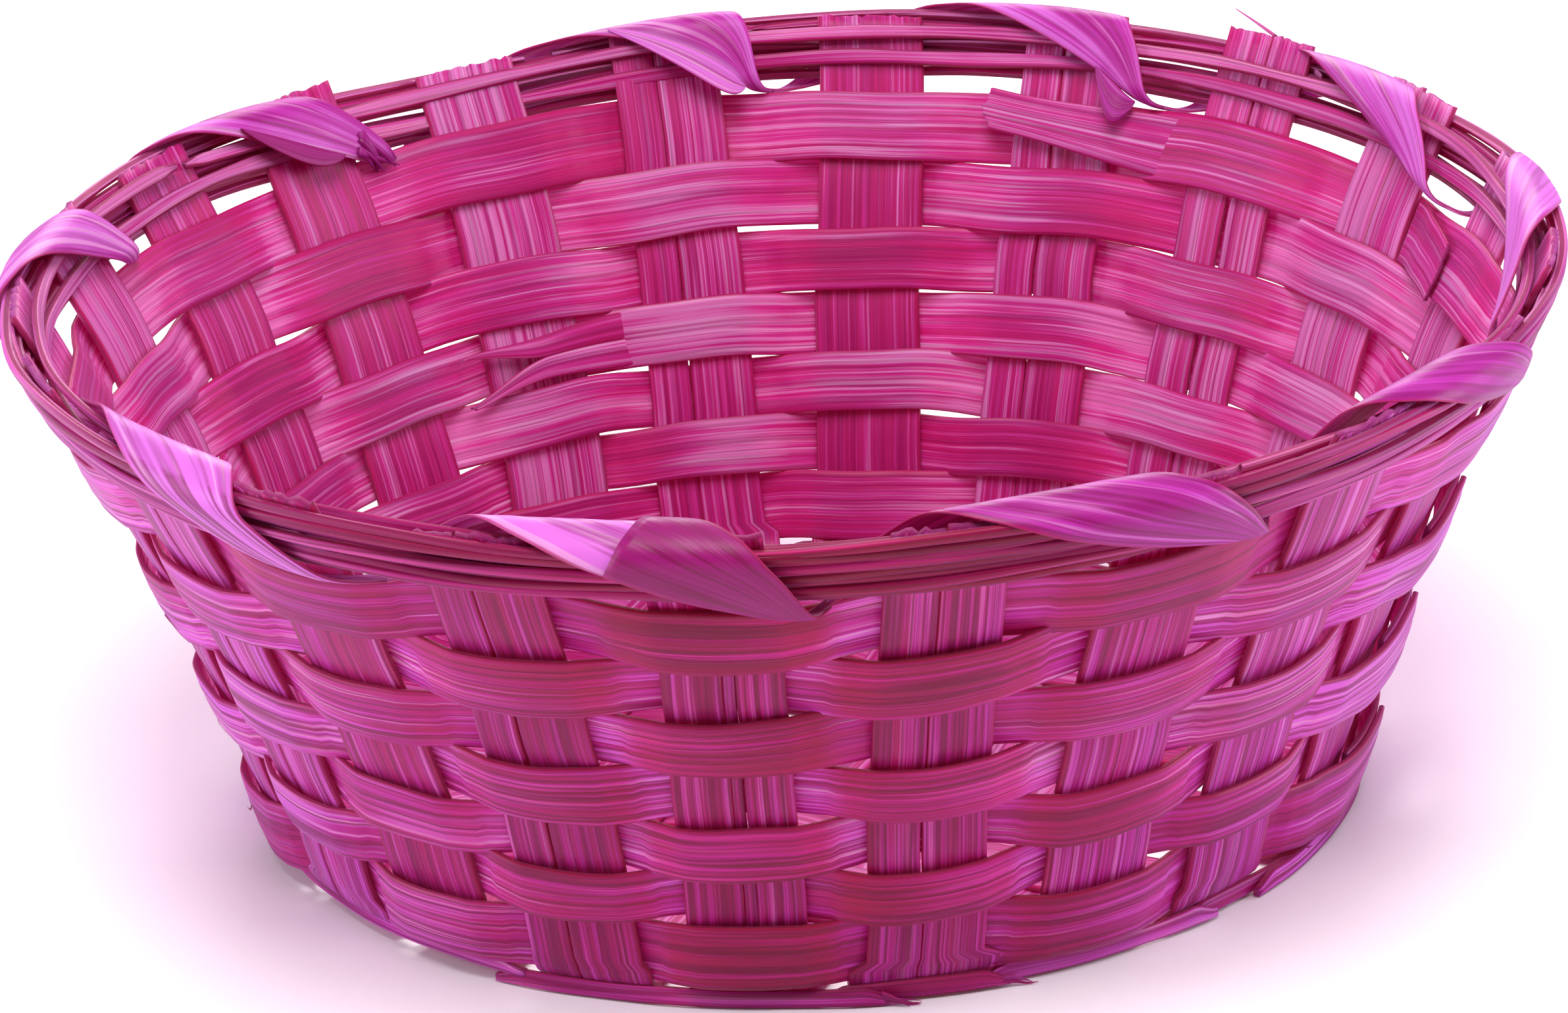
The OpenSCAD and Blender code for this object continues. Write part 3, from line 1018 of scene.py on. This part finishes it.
def weave_side(wall: Wall, row: int, place: float | Array) -> float | Array:
    """Which side of the uprights a weaver is on: 1 outside, -1 inside, and between on its way."""
    return np.clip(2 * np.cos(math.pi * (weave_beat(wall, place) + row)), -1, 1)


@dataclass
class Splice:
    """A loose end that a weaver shows on the inside where a new length was laid in.

    It comes out from behind the weaver at its start and lies free at its end.
    """
    row: int
    start: float
    end: float
    rise: float
    narrow: float
    fork: float = 0.0


@dataclass
class Weavers:
    """Seven rows, each a strip that goes once round and laps onto itself."""
    wall: Wall
    finish: bpy.types.Material
    seed: int = 31
    thick: float = 0.8
    reach: float = 1.17
    bow: float = 0.5
    cup: float = 0.35
    steps: int = 22
    snug: float = 0.97
    low_row_extra: float = 2.2
    fibres: int = 7
    fibre_thick: float = 0.18
    pitch: float = 0.62
    ridge: float = 0.05
    steep: float = 1.6
    lap_gap: float = 0.12
    drift: float = 0.5
    tip: float = 0.35
    girth: float = 0.045
    splice_thick: float = 0.55
    splice_wide: float = 0.85
    splice_tuck: float = 0.45
    splice_clear: float = 1.75
    cut_slant: float = 0.07
    cut_rag: float = 0.02
    splices: list[Splice] = field(default_factory=list)

    def off(self, row: int, place: Array) -> Array:
        """How far off the wall a weaver's middle is.

        Args:
            row: The row, from 1 at the bottom.
            place: Places along the ring.

        Returns:
            The distance at each, outward positive.
        """
        wall = self.wall
        beat = math.pi * (weave_beat(wall, place) + row)
        side = np.clip(self.steep * np.cos(beat), -1, 1)
        swell = np.cos(beat)
        bowed = self.bow * np.where(swell > 0, swell ** 2, -0.2 * swell ** 2)
        climb = smooth((place - LAP_PLACE - wall.stakes - LAP_START + LAP_RAMP) / LAP_RAMP)
        return self.reach * side + bowed + np.sign(side) * (self.thick + self.lap_gap) * climb

    def row(self, number: int) -> StripMesh:
        """Builds one row.

        Args:
            number: The row, from 1 at the bottom.

        Returns:
            Its mesh.
        """
        wall = self.wall
        rng = np.random.default_rng(self.seed + number)
        made = StripMesh(wall.weaver_nodes[number - 1] + "_strip", rng)
        first = LAP_PLACE + LAP_START
        last = LAP_PLACE + wall.stakes + LAP_END
        place = np.linspace(first, last, int((last - first) * self.steps))
        high = wall.row_high[number - 1]
        shares = columns(high, self.pitch)
        drift = Wander(rng, self.drift, 3.1, wall.stakes)
        tip = Wander(rng, self.tip, 2.3, wall.stakes)
        girth = Wander(rng, self.girth, 5.0, wall.stakes)
        extra = self.low_row_extra if number == 1 else 0.0
        wide = (high * (self.snug + girth.at(place)) + extra)[:, None]
        off = self.off(number, place)
        shine = Wander(rng, 0.35, 4.0)
        # Painted light and shade on the outside passes only: paler lilac flanks and a darker front.
        outside = smooth(off / self.reach + 0.5)
        painted_light = painted_light_and_shade(wall.turn(place), outside)
        painted_shade = painted_front_shade(wall.turn(place), outside)[:, None]
        tone = (rng.uniform(-0.25, 0.3) + shine.at(place) + painted_light)[:, None]
        z = wall.row_z[number - 1] - extra / 2 + drift.at(place)[:, None] + shares[None, :] * wide
        cup = self.cup * np.where(off > 0, 1.0, -0.35)[:, None]
        lean = tip.at(place)[:, None] * shares[None, :] * 2
        mid = wall.point(wall.turn(place)[:, None], z, off[:, None] + cup * dome(shares) + lean)
        made.strip(mid, shares, self.thick, tone, painted_shade, self.ridge)
        for splice in self.splices:
            if splice.row == number:
                self.lay_splice(made, splice, rng)
        for _ in range(self.fibres):
            self.fray(made, number, rng)
        return made

    def fray(self, made: StripMesh, number: int, rng: np.random.Generator) -> None:
        """Adds a hair-thin fibre that has lifted off the outside of a row.

        Args:
            made: The row's mesh.
            number: The row.
            rng: The row's source of random numbers.
        """
        wall = self.wall
        t = np.linspace(0, 1, 20)
        start = 2 * rng.integers(0, wall.stakes // 2) + 1 + number % 2 + rng.uniform(-0.3, 0.2)
        place = start + rng.uniform(0.15, 0.5) * t
        rise = rng.uniform(-2.5, 2.5)
        z = wall.row_z[number - 1] + rng.uniform(-3, 3) + rise * t ** 2
        lift = self.off(number, place) + self.bow + self.cup + rng.uniform(0.2, 0.9) * t
        path = wall.point(wall.turn(place), z, lift)
        made.splinter(path, rng.uniform(0.2, 0.4), self.fibre_thick, outward(path[0]), -0.6)

    def lay_splice(self, made: StripMesh, splice: Splice, rng: np.random.Generator) -> None:
        """Adds the loose end of a length that lies inside the weaver.

        Args:
            made: The row's mesh.
            splice: Where it lies.
            rng: The row's source of random numbers.
        """
        wall = self.wall
        t = np.linspace(0, 1, 60)[:, None]
        share = self.splice_wide - (self.splice_wide - splice.narrow) * smooth(t * 1.1)
        high = wall.row_high[splice.row - 1] * share
        tone = rng.uniform(-0.1, 0.3)
        prongs = ((-0.5, 0.0, -1), (0.0, 0.5, 1)) if splice.fork else ((-0.5, 0.5, 0),)
        for low, top, way in prongs:
            local = columns(float(high[0, 0]) * (top - low), 0.7)
            shares = low + (local + 0.5) * (top - low)
            pull = way * splice.fork * smooth(2 * t - 1)
            taper = 1 - 0.75 * abs(way) * smooth(2 * t - 1)
            middle = (low + top) / 2
            # A cut end is never square: it slants, and each fibre of it ends where it broke.
            rag = self.cut_rag * rng.uniform(0, 1, len(shares))[None, :]
            cut = 1 - self.cut_slant * np.abs(shares[None, :]) - rag
            place = splice.start + (splice.end - splice.start) * t * cut
            across = middle + (shares[None, :] - middle) * taper
            z = wall.row_z[splice.row - 1] + splice.rise * t ** 2 + across * high + pull
            off = -self.splice_tuck - self.splice_clear * smooth(t * 1.7) - 0.5 * t
            mid = wall.point(wall.turn(place), z, off)
            made.strip(mid, local, self.splice_thick, tone)

    def build(self) -> list[bpy.types.Object]:
        """Builds and dresses every row.

        Returns:
            The pieces.
        """
        return [dress(self.row(n), self.finish, node)
                for n, node in enumerate(self.wall.weaver_nodes, start=1)]


# ---- Rim -------------------------------------------------------------------------------------
@dataclass
class Lobe:
    """A part of the ribbon that hangs over one edge, from one share of its turn to another."""
    first: float
    last: float
    wide: float
    tone: float
    tuck: float = 0.8
    darkening: float = 0.0


@dataclass
class Turn:
    """One turn of the lashing, as it was pulled round the rim."""
    wide: float = 10.0
    leaf: float = 1.0
    leaf_out: float = 1.7
    puff: float = 0.6
    tone: float = 0.35
    fold: float = 0.0
    skew: float = 0.0
    rush: float = 0.4
    lobes: tuple[Lobe, ...] = ()
    frays: int = 0


@dataclass
class Rim:
    """The splints that clasp the uprights' tops, and the ribbon that is lashed round them."""
    wall: Wall
    splint_finish: bpy.types.Material
    ribbon_finish: bpy.types.Material
    seed: int = 51
    outer: tuple[str, ...] = tuple(f"outer_rim_splint_{n}" for n in range(1, 5))
    inner: tuple[str, ...] = ("inner_rim_splint_lower", "inner_rim_splint_upper")
    lashing: str = "rim_lashing"
    outer_thick: float = 1.5
    inner_thick: float = 1.0
    drift_p: float = 0.55
    drift_q: float = 0.35
    splint_pitch: float = 0.45
    splint_cup: float = 0.3
    splint_steps: int = 420
    first_pass: float = 1.5
    turn_steps: int = 72
    ribbon_thick: float = 0.35
    loop_q: float = 0.25
    half_q: float = 3.4
    half_p: float = 6.0
    pinch: float = 0.12
    corner: float = 2.6
    lash: list[Turn] = field(default_factory=list)

    @property
    def turns(self) -> int:
        """How many turns the ribbon makes."""
        return len(self.lash)

    def __post_init__(self) -> None:
        """Finds the bundle's middle from the splints."""
        z = np.concatenate([node_points(n)[:, 2] for n in self.outer])
        self.middle_z = float(z.min() + z.max()) / 2

    def at(self, degrees: Array, q: Array, p: Array) -> Array:
        """A point of the rim.

        Args:
            degrees: Its compass angle.
            q: Distance off the wall along its outward normal.
            p: Distance up the wall's slope from the bundle's middle.

        Returns:
            The points.
        """
        lean = self.wall.lean(self.middle_z)
        r = self.wall.radius(self.middle_z) + q * np.cos(lean) + p * np.sin(lean)
        z = self.middle_z - self.wall.sag(degrees) - q * np.sin(lean) + p * np.cos(lean)
        return ring_points(degrees, r, z)

    def splint(self, node: str, thick: float, start: float, slivers: int) -> StripMesh:
        """Builds a splint as the slivers that it has split into.

        Args:
            node: Its frame node.
            thick: Its thickness.
            start: The compass angle at which its ends meet.
            slivers: How many lie above each other.

        Returns:
            Its mesh.
        """
        cloud = node_points(node)
        lean = float(self.wall.lean(self.middle_z))
        r, z = np.hypot(cloud[:, 0], cloud[:, 1]), cloud[:, 2]
        out = r - self.wall.radius(self.middle_z)
        up = z - self.middle_z
        q_all = out * math.cos(lean) - up * math.sin(lean)
        p_all = out * math.sin(lean) + up * math.cos(lean)
        q, p = (q_all.min() + q_all.max()) / 2, (p_all.min() + p_all.max()) / 2
        high = np.ptp(p_all)
        rng = np.random.default_rng(self.seed + sum(map(ord, node)))
        outer = 1.0 if node in self.outer else 0.4
        made = StripMesh(node + "_split", rng)
        for n in range(slivers):
            begin = start + rng.uniform(-25, 25)
            degrees = np.linspace(begin, begin + FULL_TURN * rng.uniform(0.985, 1.03), self.splint_steps)
            wide = high / slivers * rng.uniform(0.75, 1.05)
            rise = Wander(rng, self.drift_p, 75.0)
            stray = Wander(rng, self.drift_q, 90.0)
            girth = Wander(rng, 0.2, 50.0)
            tip = Wander(rng, 0.35, 80.0)
            shares = columns(wide, self.splint_pitch)
            ends = smooth(np.minimum(degrees - degrees[0], degrees[-1] - degrees) / 2.5)
            across = shares[None, :] * (wide * (1 + girth.at(degrees)) * (0.35 + 0.65 * ends))[:, None]
            middle = p + (n - (slivers - 1) / 2) * high / slivers + rise.at(degrees)
            away = q + stray.at(degrees) + 0.5 * rng.uniform(-1, 1)
            off = away[:, None] + tip.at(degrees)[:, None] * across + self.splint_cup * dome(shares)
            mid = self.at(degrees[:, None], off, middle[:, None] + across)
            # Painted light and shade: paler lilac at the flanks and darker in front, the inner splints
            # darkened less.
            painted_shade = painted_front_shade(degrees, outer)[:, None]
            tone = rng.uniform(-0.4, 1.2) + 0.8 * painted_light_and_shade(degrees)[:, None] - 0.7 * painted_shade
            made.strip(mid, shares, thick * (0.75 + 0.25 * ends), tone, painted_shade, 0.05)
        return made

    def pass_turn(self, number: int) -> float:
        """The compass angle at which the ribbon passes under the rim before a turn."""
        extra = number - self.turns + 1 if number >= self.turns else 0
        return float(self.wall.turn(self.first_pass + 2 * number + extra))

    def loop(self, s: Array, swell: Array) -> tuple[Array, Array]:
        """The ribbon's way round the bundle: under it, up inside, over the top and down outside.

        Args:
            s: Shares of the way round, from the middle of the underside.
            swell: How far it stands off the bundle.

        Returns:
            Distances off the wall and up its slope.
        """
        a, b, c = self.half_q, self.half_p, self.corner
        q, p = [0.0], [-b]
        for n, (x, y) in enumerate(((c - a, c - b), (c - a, b - c), (a - c, b - c), (a - c, c - b))):
            for w in np.linspace(0, math.pi / 2, 9):
                heading = -math.pi / 2 * (1 + n) - w
                q.append(x + c * math.cos(heading))
                p.append(y + c * math.sin(heading))
        q.append(0.0)
        p.append(-b)
        q, p = np.array(q), np.array(p)
        run = np.concatenate([[0], np.cumsum(np.hypot(np.diff(q), np.diff(p)))])
        at = (s % 1.0) * run[-1]
        qs, ps = np.interp(at, run, q), np.interp(at, run, p)
        size = np.hypot(qs, ps)
        return self.loop_q + qs * (1 + swell / size), ps * (1 + swell / size)

    def ribbon(self) -> StripMesh:
        """Builds the lashing ribbon, turn by turn.

        Returns:
            Its mesh.
        """
        rng = np.random.default_rng(self.seed + 9)
        made = StripMesh(self.lashing + "_ribbon", rng)
        for number, turn in enumerate(self.lash):
            wrap = Wrap(self, turn, self.pass_turn(number), self.pass_turn(number + 1))
            wrap.build(made, rng)
        return made

    def build(self) -> list[bpy.types.Object]:
        """Builds and dresses the splints and the ribbon.

        Returns:
            The pieces.
        """
        made = []
        for number, node in enumerate(self.outer, start=1):
            made.append(dress(self.splint(node, self.outer_thick, 70 + 95 * number, 2), self.splint_finish,
                              node))
        for start, node in zip((-30, 130), self.inner):
            made.append(dress(self.splint(node, self.inner_thick, start, 1), self.splint_finish,
                              node))
        made.append(dress(self.ribbon(), self.ribbon_finish, self.lashing))
        return made


@dataclass
class Wrap:
    """One turn of the ribbon laid round the rim, from one pass under it to the next."""
    rim: Rim
    turn: Turn
    start: float
    end: float
    pitch: float = 0.7
    ridge: float = 0.03
    cup: float = 0.3
    layer_gap: float = 0.7

    def __post_init__(self) -> None:
        """Works out how far the ribbon goes round the bundle and along the rim."""
        rim = self.rim
        self.r = float(rim.wall.radius(rim.middle_z))
        self.girth = 4 * (rim.half_q + rim.half_p) - (8 - 2 * math.pi) * rim.corner
        self.advance = rad(self.end - self.start) * self.r
        self.run = math.hypot(self.girth, self.advance)

    def leaf(self, t: Array) -> Array:
        """The ribbon's width along its turn, as a share of its widest."""
        point = np.where(t < 0.5, self.turn.leaf, self.turn.leaf_out)
        return self.rim.pinch + (1 - self.rim.pinch) * np.sin(math.pi * t) ** point

    def swell(self, t: Array) -> Array:
        """How far the ribbon stands off the bundle along its turn."""
        return self.turn.puff * bump(t, 0.5, 0.4)

    def lay(self, t: Array, across: Array, swell: Array) -> Array:
        """Lays points of the ribbon round the bundle.

        Args:
            t: How far along the turn each is, from 0 to 1.
            across: How far across the ribbon each is.
            swell: How far it stands off the bundle.

        Returns:
            The points.
        """
        slow = t - self.turn.rush * np.sin(2 * math.pi * t) / (2 * math.pi)
        slow = slow + self.turn.skew * np.sin(math.pi * t) ** 2
        aside = np.degrees(across * self.girth / self.run / self.r)
        degrees = self.start + (self.end - self.start) * slow + aside
        q, p = self.rim.loop(t - across * self.advance / self.run / self.girth, swell)
        return self.rim.at(degrees, q, p)

    def band(self, made: StripMesh, first: float, last: float, tone: float, layer: int) -> None:
        """Adds a stretch of the ribbon.

        Args:
            made: The ribbon's mesh.
            first: Where it starts along the turn.
            last: Where it ends.
            tone: How pale it is.
            layer: 0 next to the bundle, and 1 where it is folded over the stretch before.
        """
        t = np.linspace(first, last, int(self.rim.turn_steps * (last - first)))[:, None]
        shares = columns(self.turn.wide, self.pitch)
        across = shares[None, :] * self.turn.wide * self.leaf(t)
        swell = self.swell(t) + self.cup * dome(shares) + self.layer_gap * layer
        made.strip(self.lay(t, across, swell), shares, self.rim.ribbon_thick, tone, 0.45 * layer, self.ridge)

    def crease(self, made: StripMesh, lobe: Lobe) -> None:
        """Adds a part that hangs down from the ribbon's lower edge, creased over.

        Args:
            made: The ribbon's mesh.
            lobe: Where it is and how it hangs.
        """
        t = np.linspace(lobe.first, lobe.last, 40)[:, None]
        shares = columns(lobe.wide, self.pitch)
        share = (t - lobe.first) / (lobe.last - lobe.first)
        width = lobe.wide * (0.06 + 0.94 * np.sin(math.pi * share) ** 0.8)
        fold = self.lay(t, 0.42 * self.turn.wide * self.leaf(t), self.swell(t) + 0.5)
        lean = self.rim.wall.lean(self.rim.middle_z)
        inward = -np.concatenate([unit(fold[..., :2]), np.zeros(t.shape + (1,))], -1)
        level = inward * math.cos(lean) + (0, 0, math.sin(lean))
        hang = inward * math.sin(lean) - (0, 0, math.cos(lean))
        drop = ((shares[None, :] + 0.5) * width)[..., None]
        mid = fold + hang * drop + level * (0.3 - lobe.tuck * drop / lobe.wide)
        # Each lobe's tone and darkening are given with it; where they are darker, they are painted shade on
        # the creased part, which tilts inward.
        made.strip(mid, shares, self.rim.ribbon_thick, lobe.tone, lobe.darkening, self.ridge)

    def build(self, made: StripMesh, rng: np.random.Generator) -> None:
        """Adds the turn to the ribbon's mesh, with its fold, its lobes and its frays.

        Args:
            made: The ribbon's mesh.
            rng: The ribbon's source of random numbers.
        """
        turn = self.turn
        spans = [(0.0, 1.0, turn.tone)]
        if turn.fold:
            spans = [(0.0, turn.fold + 0.03, turn.tone), (turn.fold - 0.05, 1.0, -1.0)]
        for layer, (first, last, tone) in enumerate(spans):
            self.band(made, first, last, tone, layer)
        for lobe in turn.lobes:
            self.crease(made, lobe)
        for _ in range(turn.frays):
            t = np.linspace(0.18, 0.02, 12)
            across = np.linspace(rng.uniform(-2, 2), rng.uniform(-1, 5), 12)
            path = self.lay(t, across, 0.8 + np.linspace(0, rng.uniform(0.3, 1.6), 12))
            made.splinter(path, rng.uniform(0.6, 1.4), 0.25, outward(path[0]), -0.4)


# ---- Foot ------------------------------------------------------------------------------------
@dataclass
class HoopLength:
    """One of the lengths that make up the hoop, from one compass angle to another."""
    start: float
    end: float
    lift: float = 0.0
    inset: float = 0.0
    torn: int = 0


@dataclass
class Foot:
    """The hoop that the basket stands on: thin lengths, each lapped over the next."""
    wall: Wall
    finish: bpy.types.Material
    lengths: list[HoopLength]
    node: str = "foot_hoop"
    seed: int = 71
    thick: float = 1.0
    lap_out: float = 0.9
    lap_turn: float = 12.0
    floor_gap: float = 0.02
    pitch: float = 0.45

    def build(self) -> list[bpy.types.Object]:
        """Builds the hoop.

        Returns:
            The pieces.
        """
        cloud = node_points(self.node)
        r = np.hypot(cloud[:, 0], cloud[:, 1])
        middle, high = (r.min() + r.max()) / 2, cloud[:, 2].max()
        rng = np.random.default_rng(self.seed)
        made = StripMesh(self.node + "_lengths", rng)
        for length in self.lengths:
            degrees = np.linspace(length.start, length.end, max(24, int((length.end - length.start) * 1.4)))
            wide = high * rng.uniform(1.0, 1.2)
            shares = columns(wide, self.pitch)
            girth = Wander(rng, 0.10, 50.0)
            stray = Wander(rng, 0.20, 50.0)
            to_end = degrees[-1] - degrees
            tip = smooth(np.minimum(degrees - degrees[0], to_end) / 3)
            tall = (wide * (1 + girth.at(degrees)) * (0.45 + 0.55 * tip))[:, None]
            over = self.lap_out * (1 - smooth(to_end / self.lap_turn)) - length.inset
            radius = (middle + stray.at(degrees) + over)[:, None]
            z = (shares[None, :] + 0.5) * tall + self.floor_gap + length.lift
            mid = ring_points(degrees[:, None], radius, z)
            tone = rng.uniform(-0.4, 0.3)
            # Painted shade: the hoop is darker in front.
            made.strip(mid, shares, self.thick, tone, 0.6 * painted_front_shade(degrees)[:, None], 0.06)
            for _ in range(length.torn):
                self.tear(made, float(radius[-1, 0]), length, rng)
        return [dress(made, self.finish, self.node)]

    def tear(self, made: StripMesh, radius: float, length: HoopLength,
             rng: np.random.Generator) -> None:
        """Adds a fibre that sticks out of a torn end.

        Args:
            made: The hoop's mesh.
            radius: How far out the end lies.
            length: The length that is torn.
            rng: The hoop's source of random numbers.
        """
        t = np.linspace(0, 1, 10)
        degrees = length.end - 1.0 + rng.uniform(1.5, 4.5) * t
        out = radius + 0.3 + rng.uniform(0.2, 1.6) * t
        z = np.maximum(0.15, length.lift + rng.uniform(0.3, 2.2) + rng.uniform(-1.8, 1.0) * t ** 2)
        path = ring_points(degrees, out, z)
        made.splinter(path, rng.uniform(0.4, 1.0), 0.3, outward(path[0]), -0.3)


def dress(made: StripMesh, finish: bpy.types.Material, node: str) -> bpy.types.Object:
    """Makes a piece, and puts it in the place of its frame node.

    Args:
        made: Its mesh.
        finish: Its material.
        node: The frame node that it stands for.

    Returns:
        The piece.
    """
    piece = made.piece(finish)
    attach(piece, "root")
    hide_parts(node)
    LOG.info("%s: %d faces", piece.name, len(piece.data.polygons))
    return piece


# ---- Studio ----------------------------------------------------------------------------------
@dataclass
class Studio:
    """A pale floor, soft lights and the camera."""
    elevation: float = 22.08
    roll: float = -2.96
    lens: float = 156.2
    sensor: float = 36.0
    distance: float = 957.9
    target_z: float = 36.05
    aim_right: float = -1.62
    aim_up: float = 3.89
    floor_size: float = 12000.0

    def build(self) -> None:
        """Builds the floor, the lights and the camera."""
        self.floor()
        self.light("side_left", (-1000, -60, 240), 600, 8.0, "#f0ebff")
        self.light("side_right", (1000, 0, 240), 600, 8.0, "#f0ebff")
        self.light("key", (0, -420, 1080), 700, 15.0, "#fff6fa")
        self.light("rear", (0, 900, 560), 600, 8.0, "#fff4f8")
        world = bpy.data.worlds.new("studio")
        world.use_nodes = True
        world.node_tree.nodes["Background"].inputs["Color"].default_value = linear("#ffffff")
        world.node_tree.nodes["Background"].inputs["Strength"].default_value = 0.22
        bpy.context.scene.world = world
        bpy.context.scene.view_settings.view_transform = "Standard"
        self.camera()

    def floor(self) -> None:
        """Lays the floor just under the basket."""
        mesh = bpy.data.meshes.new("floor")
        s = self.floor_size * MM / 2
        mesh.from_pydata([(-s, -s, 0), (s, -s, 0), (s, s, 0), (-s, s, 0)], [], [(0, 1, 2, 3)])
        floor = bpy.data.objects.new("floor", mesh)
        floor.location.z = -0.0002
        mesh.materials.append(PaperFloor().make())
        bpy.context.scene.collection.objects.link(floor)

    def light(self, name: str, place: tuple[float, float, float], size: float, power: float,
              colour: str) -> None:
        """Hangs a square soft box that faces the basket.

        Args:
            name: Its name.
            place: Its middle.
            size: Its side.
            power: Its power in watts.
            colour: Its colour.
        """
        lamp = bpy.data.lights.new(name, "AREA")
        lamp.shape = "SQUARE"
        lamp.size = size * MM
        lamp.energy = power
        lamp.color = linear(colour)[:3]
        hung = bpy.data.objects.new(name, lamp)
        hung.location = Vector(place) * MM
        toward = Vector((0, 0, self.target_z)) * MM - hung.location
        hung.rotation_euler = toward.to_track_quat("-Z", "Y").to_euler()
        bpy.context.scene.collection.objects.link(hung)

    def camera(self) -> None:
        """Sets the camera up, tilted a little about its own axis."""
        e, roll = math.radians(self.elevation), math.radians(self.roll)
        forward = Vector((0, math.cos(e), -math.sin(e)))
        level, upright = Vector((1, 0, 0)), Vector((0, math.sin(e), math.cos(e)))
        right = level * math.cos(roll) + upright * math.sin(roll)
        up = upright * math.cos(roll) - level * math.sin(roll)
        aim = Vector((0, 0, self.target_z)) + right * self.aim_right + up * self.aim_up
        data = bpy.data.cameras.new("camera")
        data.lens = self.lens
        data.sensor_width = self.sensor
        data.clip_start = 0.01
        data.clip_end = 50
        eye = bpy.data.objects.new("camera", data)
        turn = Matrix((right, up, -forward)).transposed()
        eye.matrix_world = Matrix.Translation((aim - forward * self.distance) * MM) @ turn.to_4x4()
        bpy.context.scene.collection.objects.link(eye)
        bpy.context.scene.camera = eye


# ---- The basket ------------------------------------------------------------------------------
def main() -> None:
    logging.basicConfig(level=logging.INFO, format="%(message)s")
    Studio().build()
    wall = Wall(
        [f"{kind}_stake_{n}" for kind in ("long", "cross") for n in range(1, 6)], "half_stake",
        [f"weaver_row_{n}" for n in range(1, 8)])
    splits = [Split(4, 0.05, 8, 40, 0.5), Split(3, -0.1, 15, 60, 0.4), Split(2, 0.1, 15, 60, 0.5),
              Split(14, 0.1, 10, 60, 0.4), Split(12, 0.1, 20, 60, 0.5), Split(11, 0.0, 15, 78, 0.9)]
    loose = [LooseFibre(11, (-0.32, 77.0, 0.5), (0.30, 83.5, 3.0), 1.3)]
    stake_finish = DyedBamboo(Cut.STAKE, contrast=1.7, fibre_mm=0.6, pale_share=0.5, vein=0.85, vein_mm=1.2,
                              run_mm=110.0)
    Stakes(wall, stake_finish.make(), splits=splits, loose=loose,
           proud={10: 0.5, 11: 2.4, 14: -0.6, 15: 1.4, 16: 0.8}).build()
    splices = [Splice(4, 14.3, 15.55, -1.6, 0.55, 2.2), Splice(7, 11.3, 12.42, 2.4, 0.55),
               Splice(7, 9.7, 9.15, -1.5, 0.8)]
    Weavers(wall, DyedBamboo(Cut.WEAVER).make(), splices=splices).build()
    lash = [
        Turn(12.0, fold=0.55, tone=0.7, skew=0.10), Turn(12.0, tone=-0.2, skew=0.04),
        Turn(9.0, tone=-0.2), Turn(9.0, tone=0.5, skew=0.16), Turn(9.5, leaf=1.4, tone=0.3),
        Turn(11.0, leaf=1.5, skew=-0.15, tone=0.1, lobes=(Lobe(0.10, 0.30, 5.5, -0.4, -0.6),)),
        Turn(11.5, leaf=1.6, skew=-0.22, tone=0.1, lobes=(Lobe(0.14, 0.55, 4.5, 0.4, -0.6),)),
        Turn(10.5, tone=0.1, lobes=(Lobe(0.22, 0.46, 3.5, -1.0, -0.3, 0.3),), frays=6),
        Turn(9.0, tone=0.3, skew=-0.04), Turn(11.5, tone=0.6, skew=0.17, rush=-0.2)]
    splint_finish = DyedBamboo(Cut.SPLINT, deep="#a00f62", body="#c02692", light="#e266cc", pale="#f2a8ce",
                               fibre_mm=0.4, vein_mm=0.9, contrast=1.2, pale_share=0.6)
    deep, body, light = "#a61888", "#c832b4", "#e47ae6"
    ribbon_finish = DyedBamboo(Cut.RIBBON, deep=deep, body=body, light=light, pith_glow_deep=deep, pith_glow_body=body,
                               pith_glow_light=light, translucent=0.3, fibre_mm=0.7, contrast=1.0)
    Rim(wall, splint_finish.make(), ribbon_finish.make(), lash=lash).build()
    hoop = [HoopLength(-186, -120.5, 1.4, 0.6), HoopLength(-124, -83, torn=6),
            HoopLength(-90, -71, 0.3, torn=3), HoopLength(-74, -46, 0.2), HoopLength(-50, -31, 0.2, torn=2),
            HoopLength(-40, 92, 0.0, -1.6), HoopLength(84, 182)]
    Foot(wall, DyedBamboo(Cut.HOOP, contrast=1.3).make(), hoop).build()


if __name__ == "__main__":
    main()
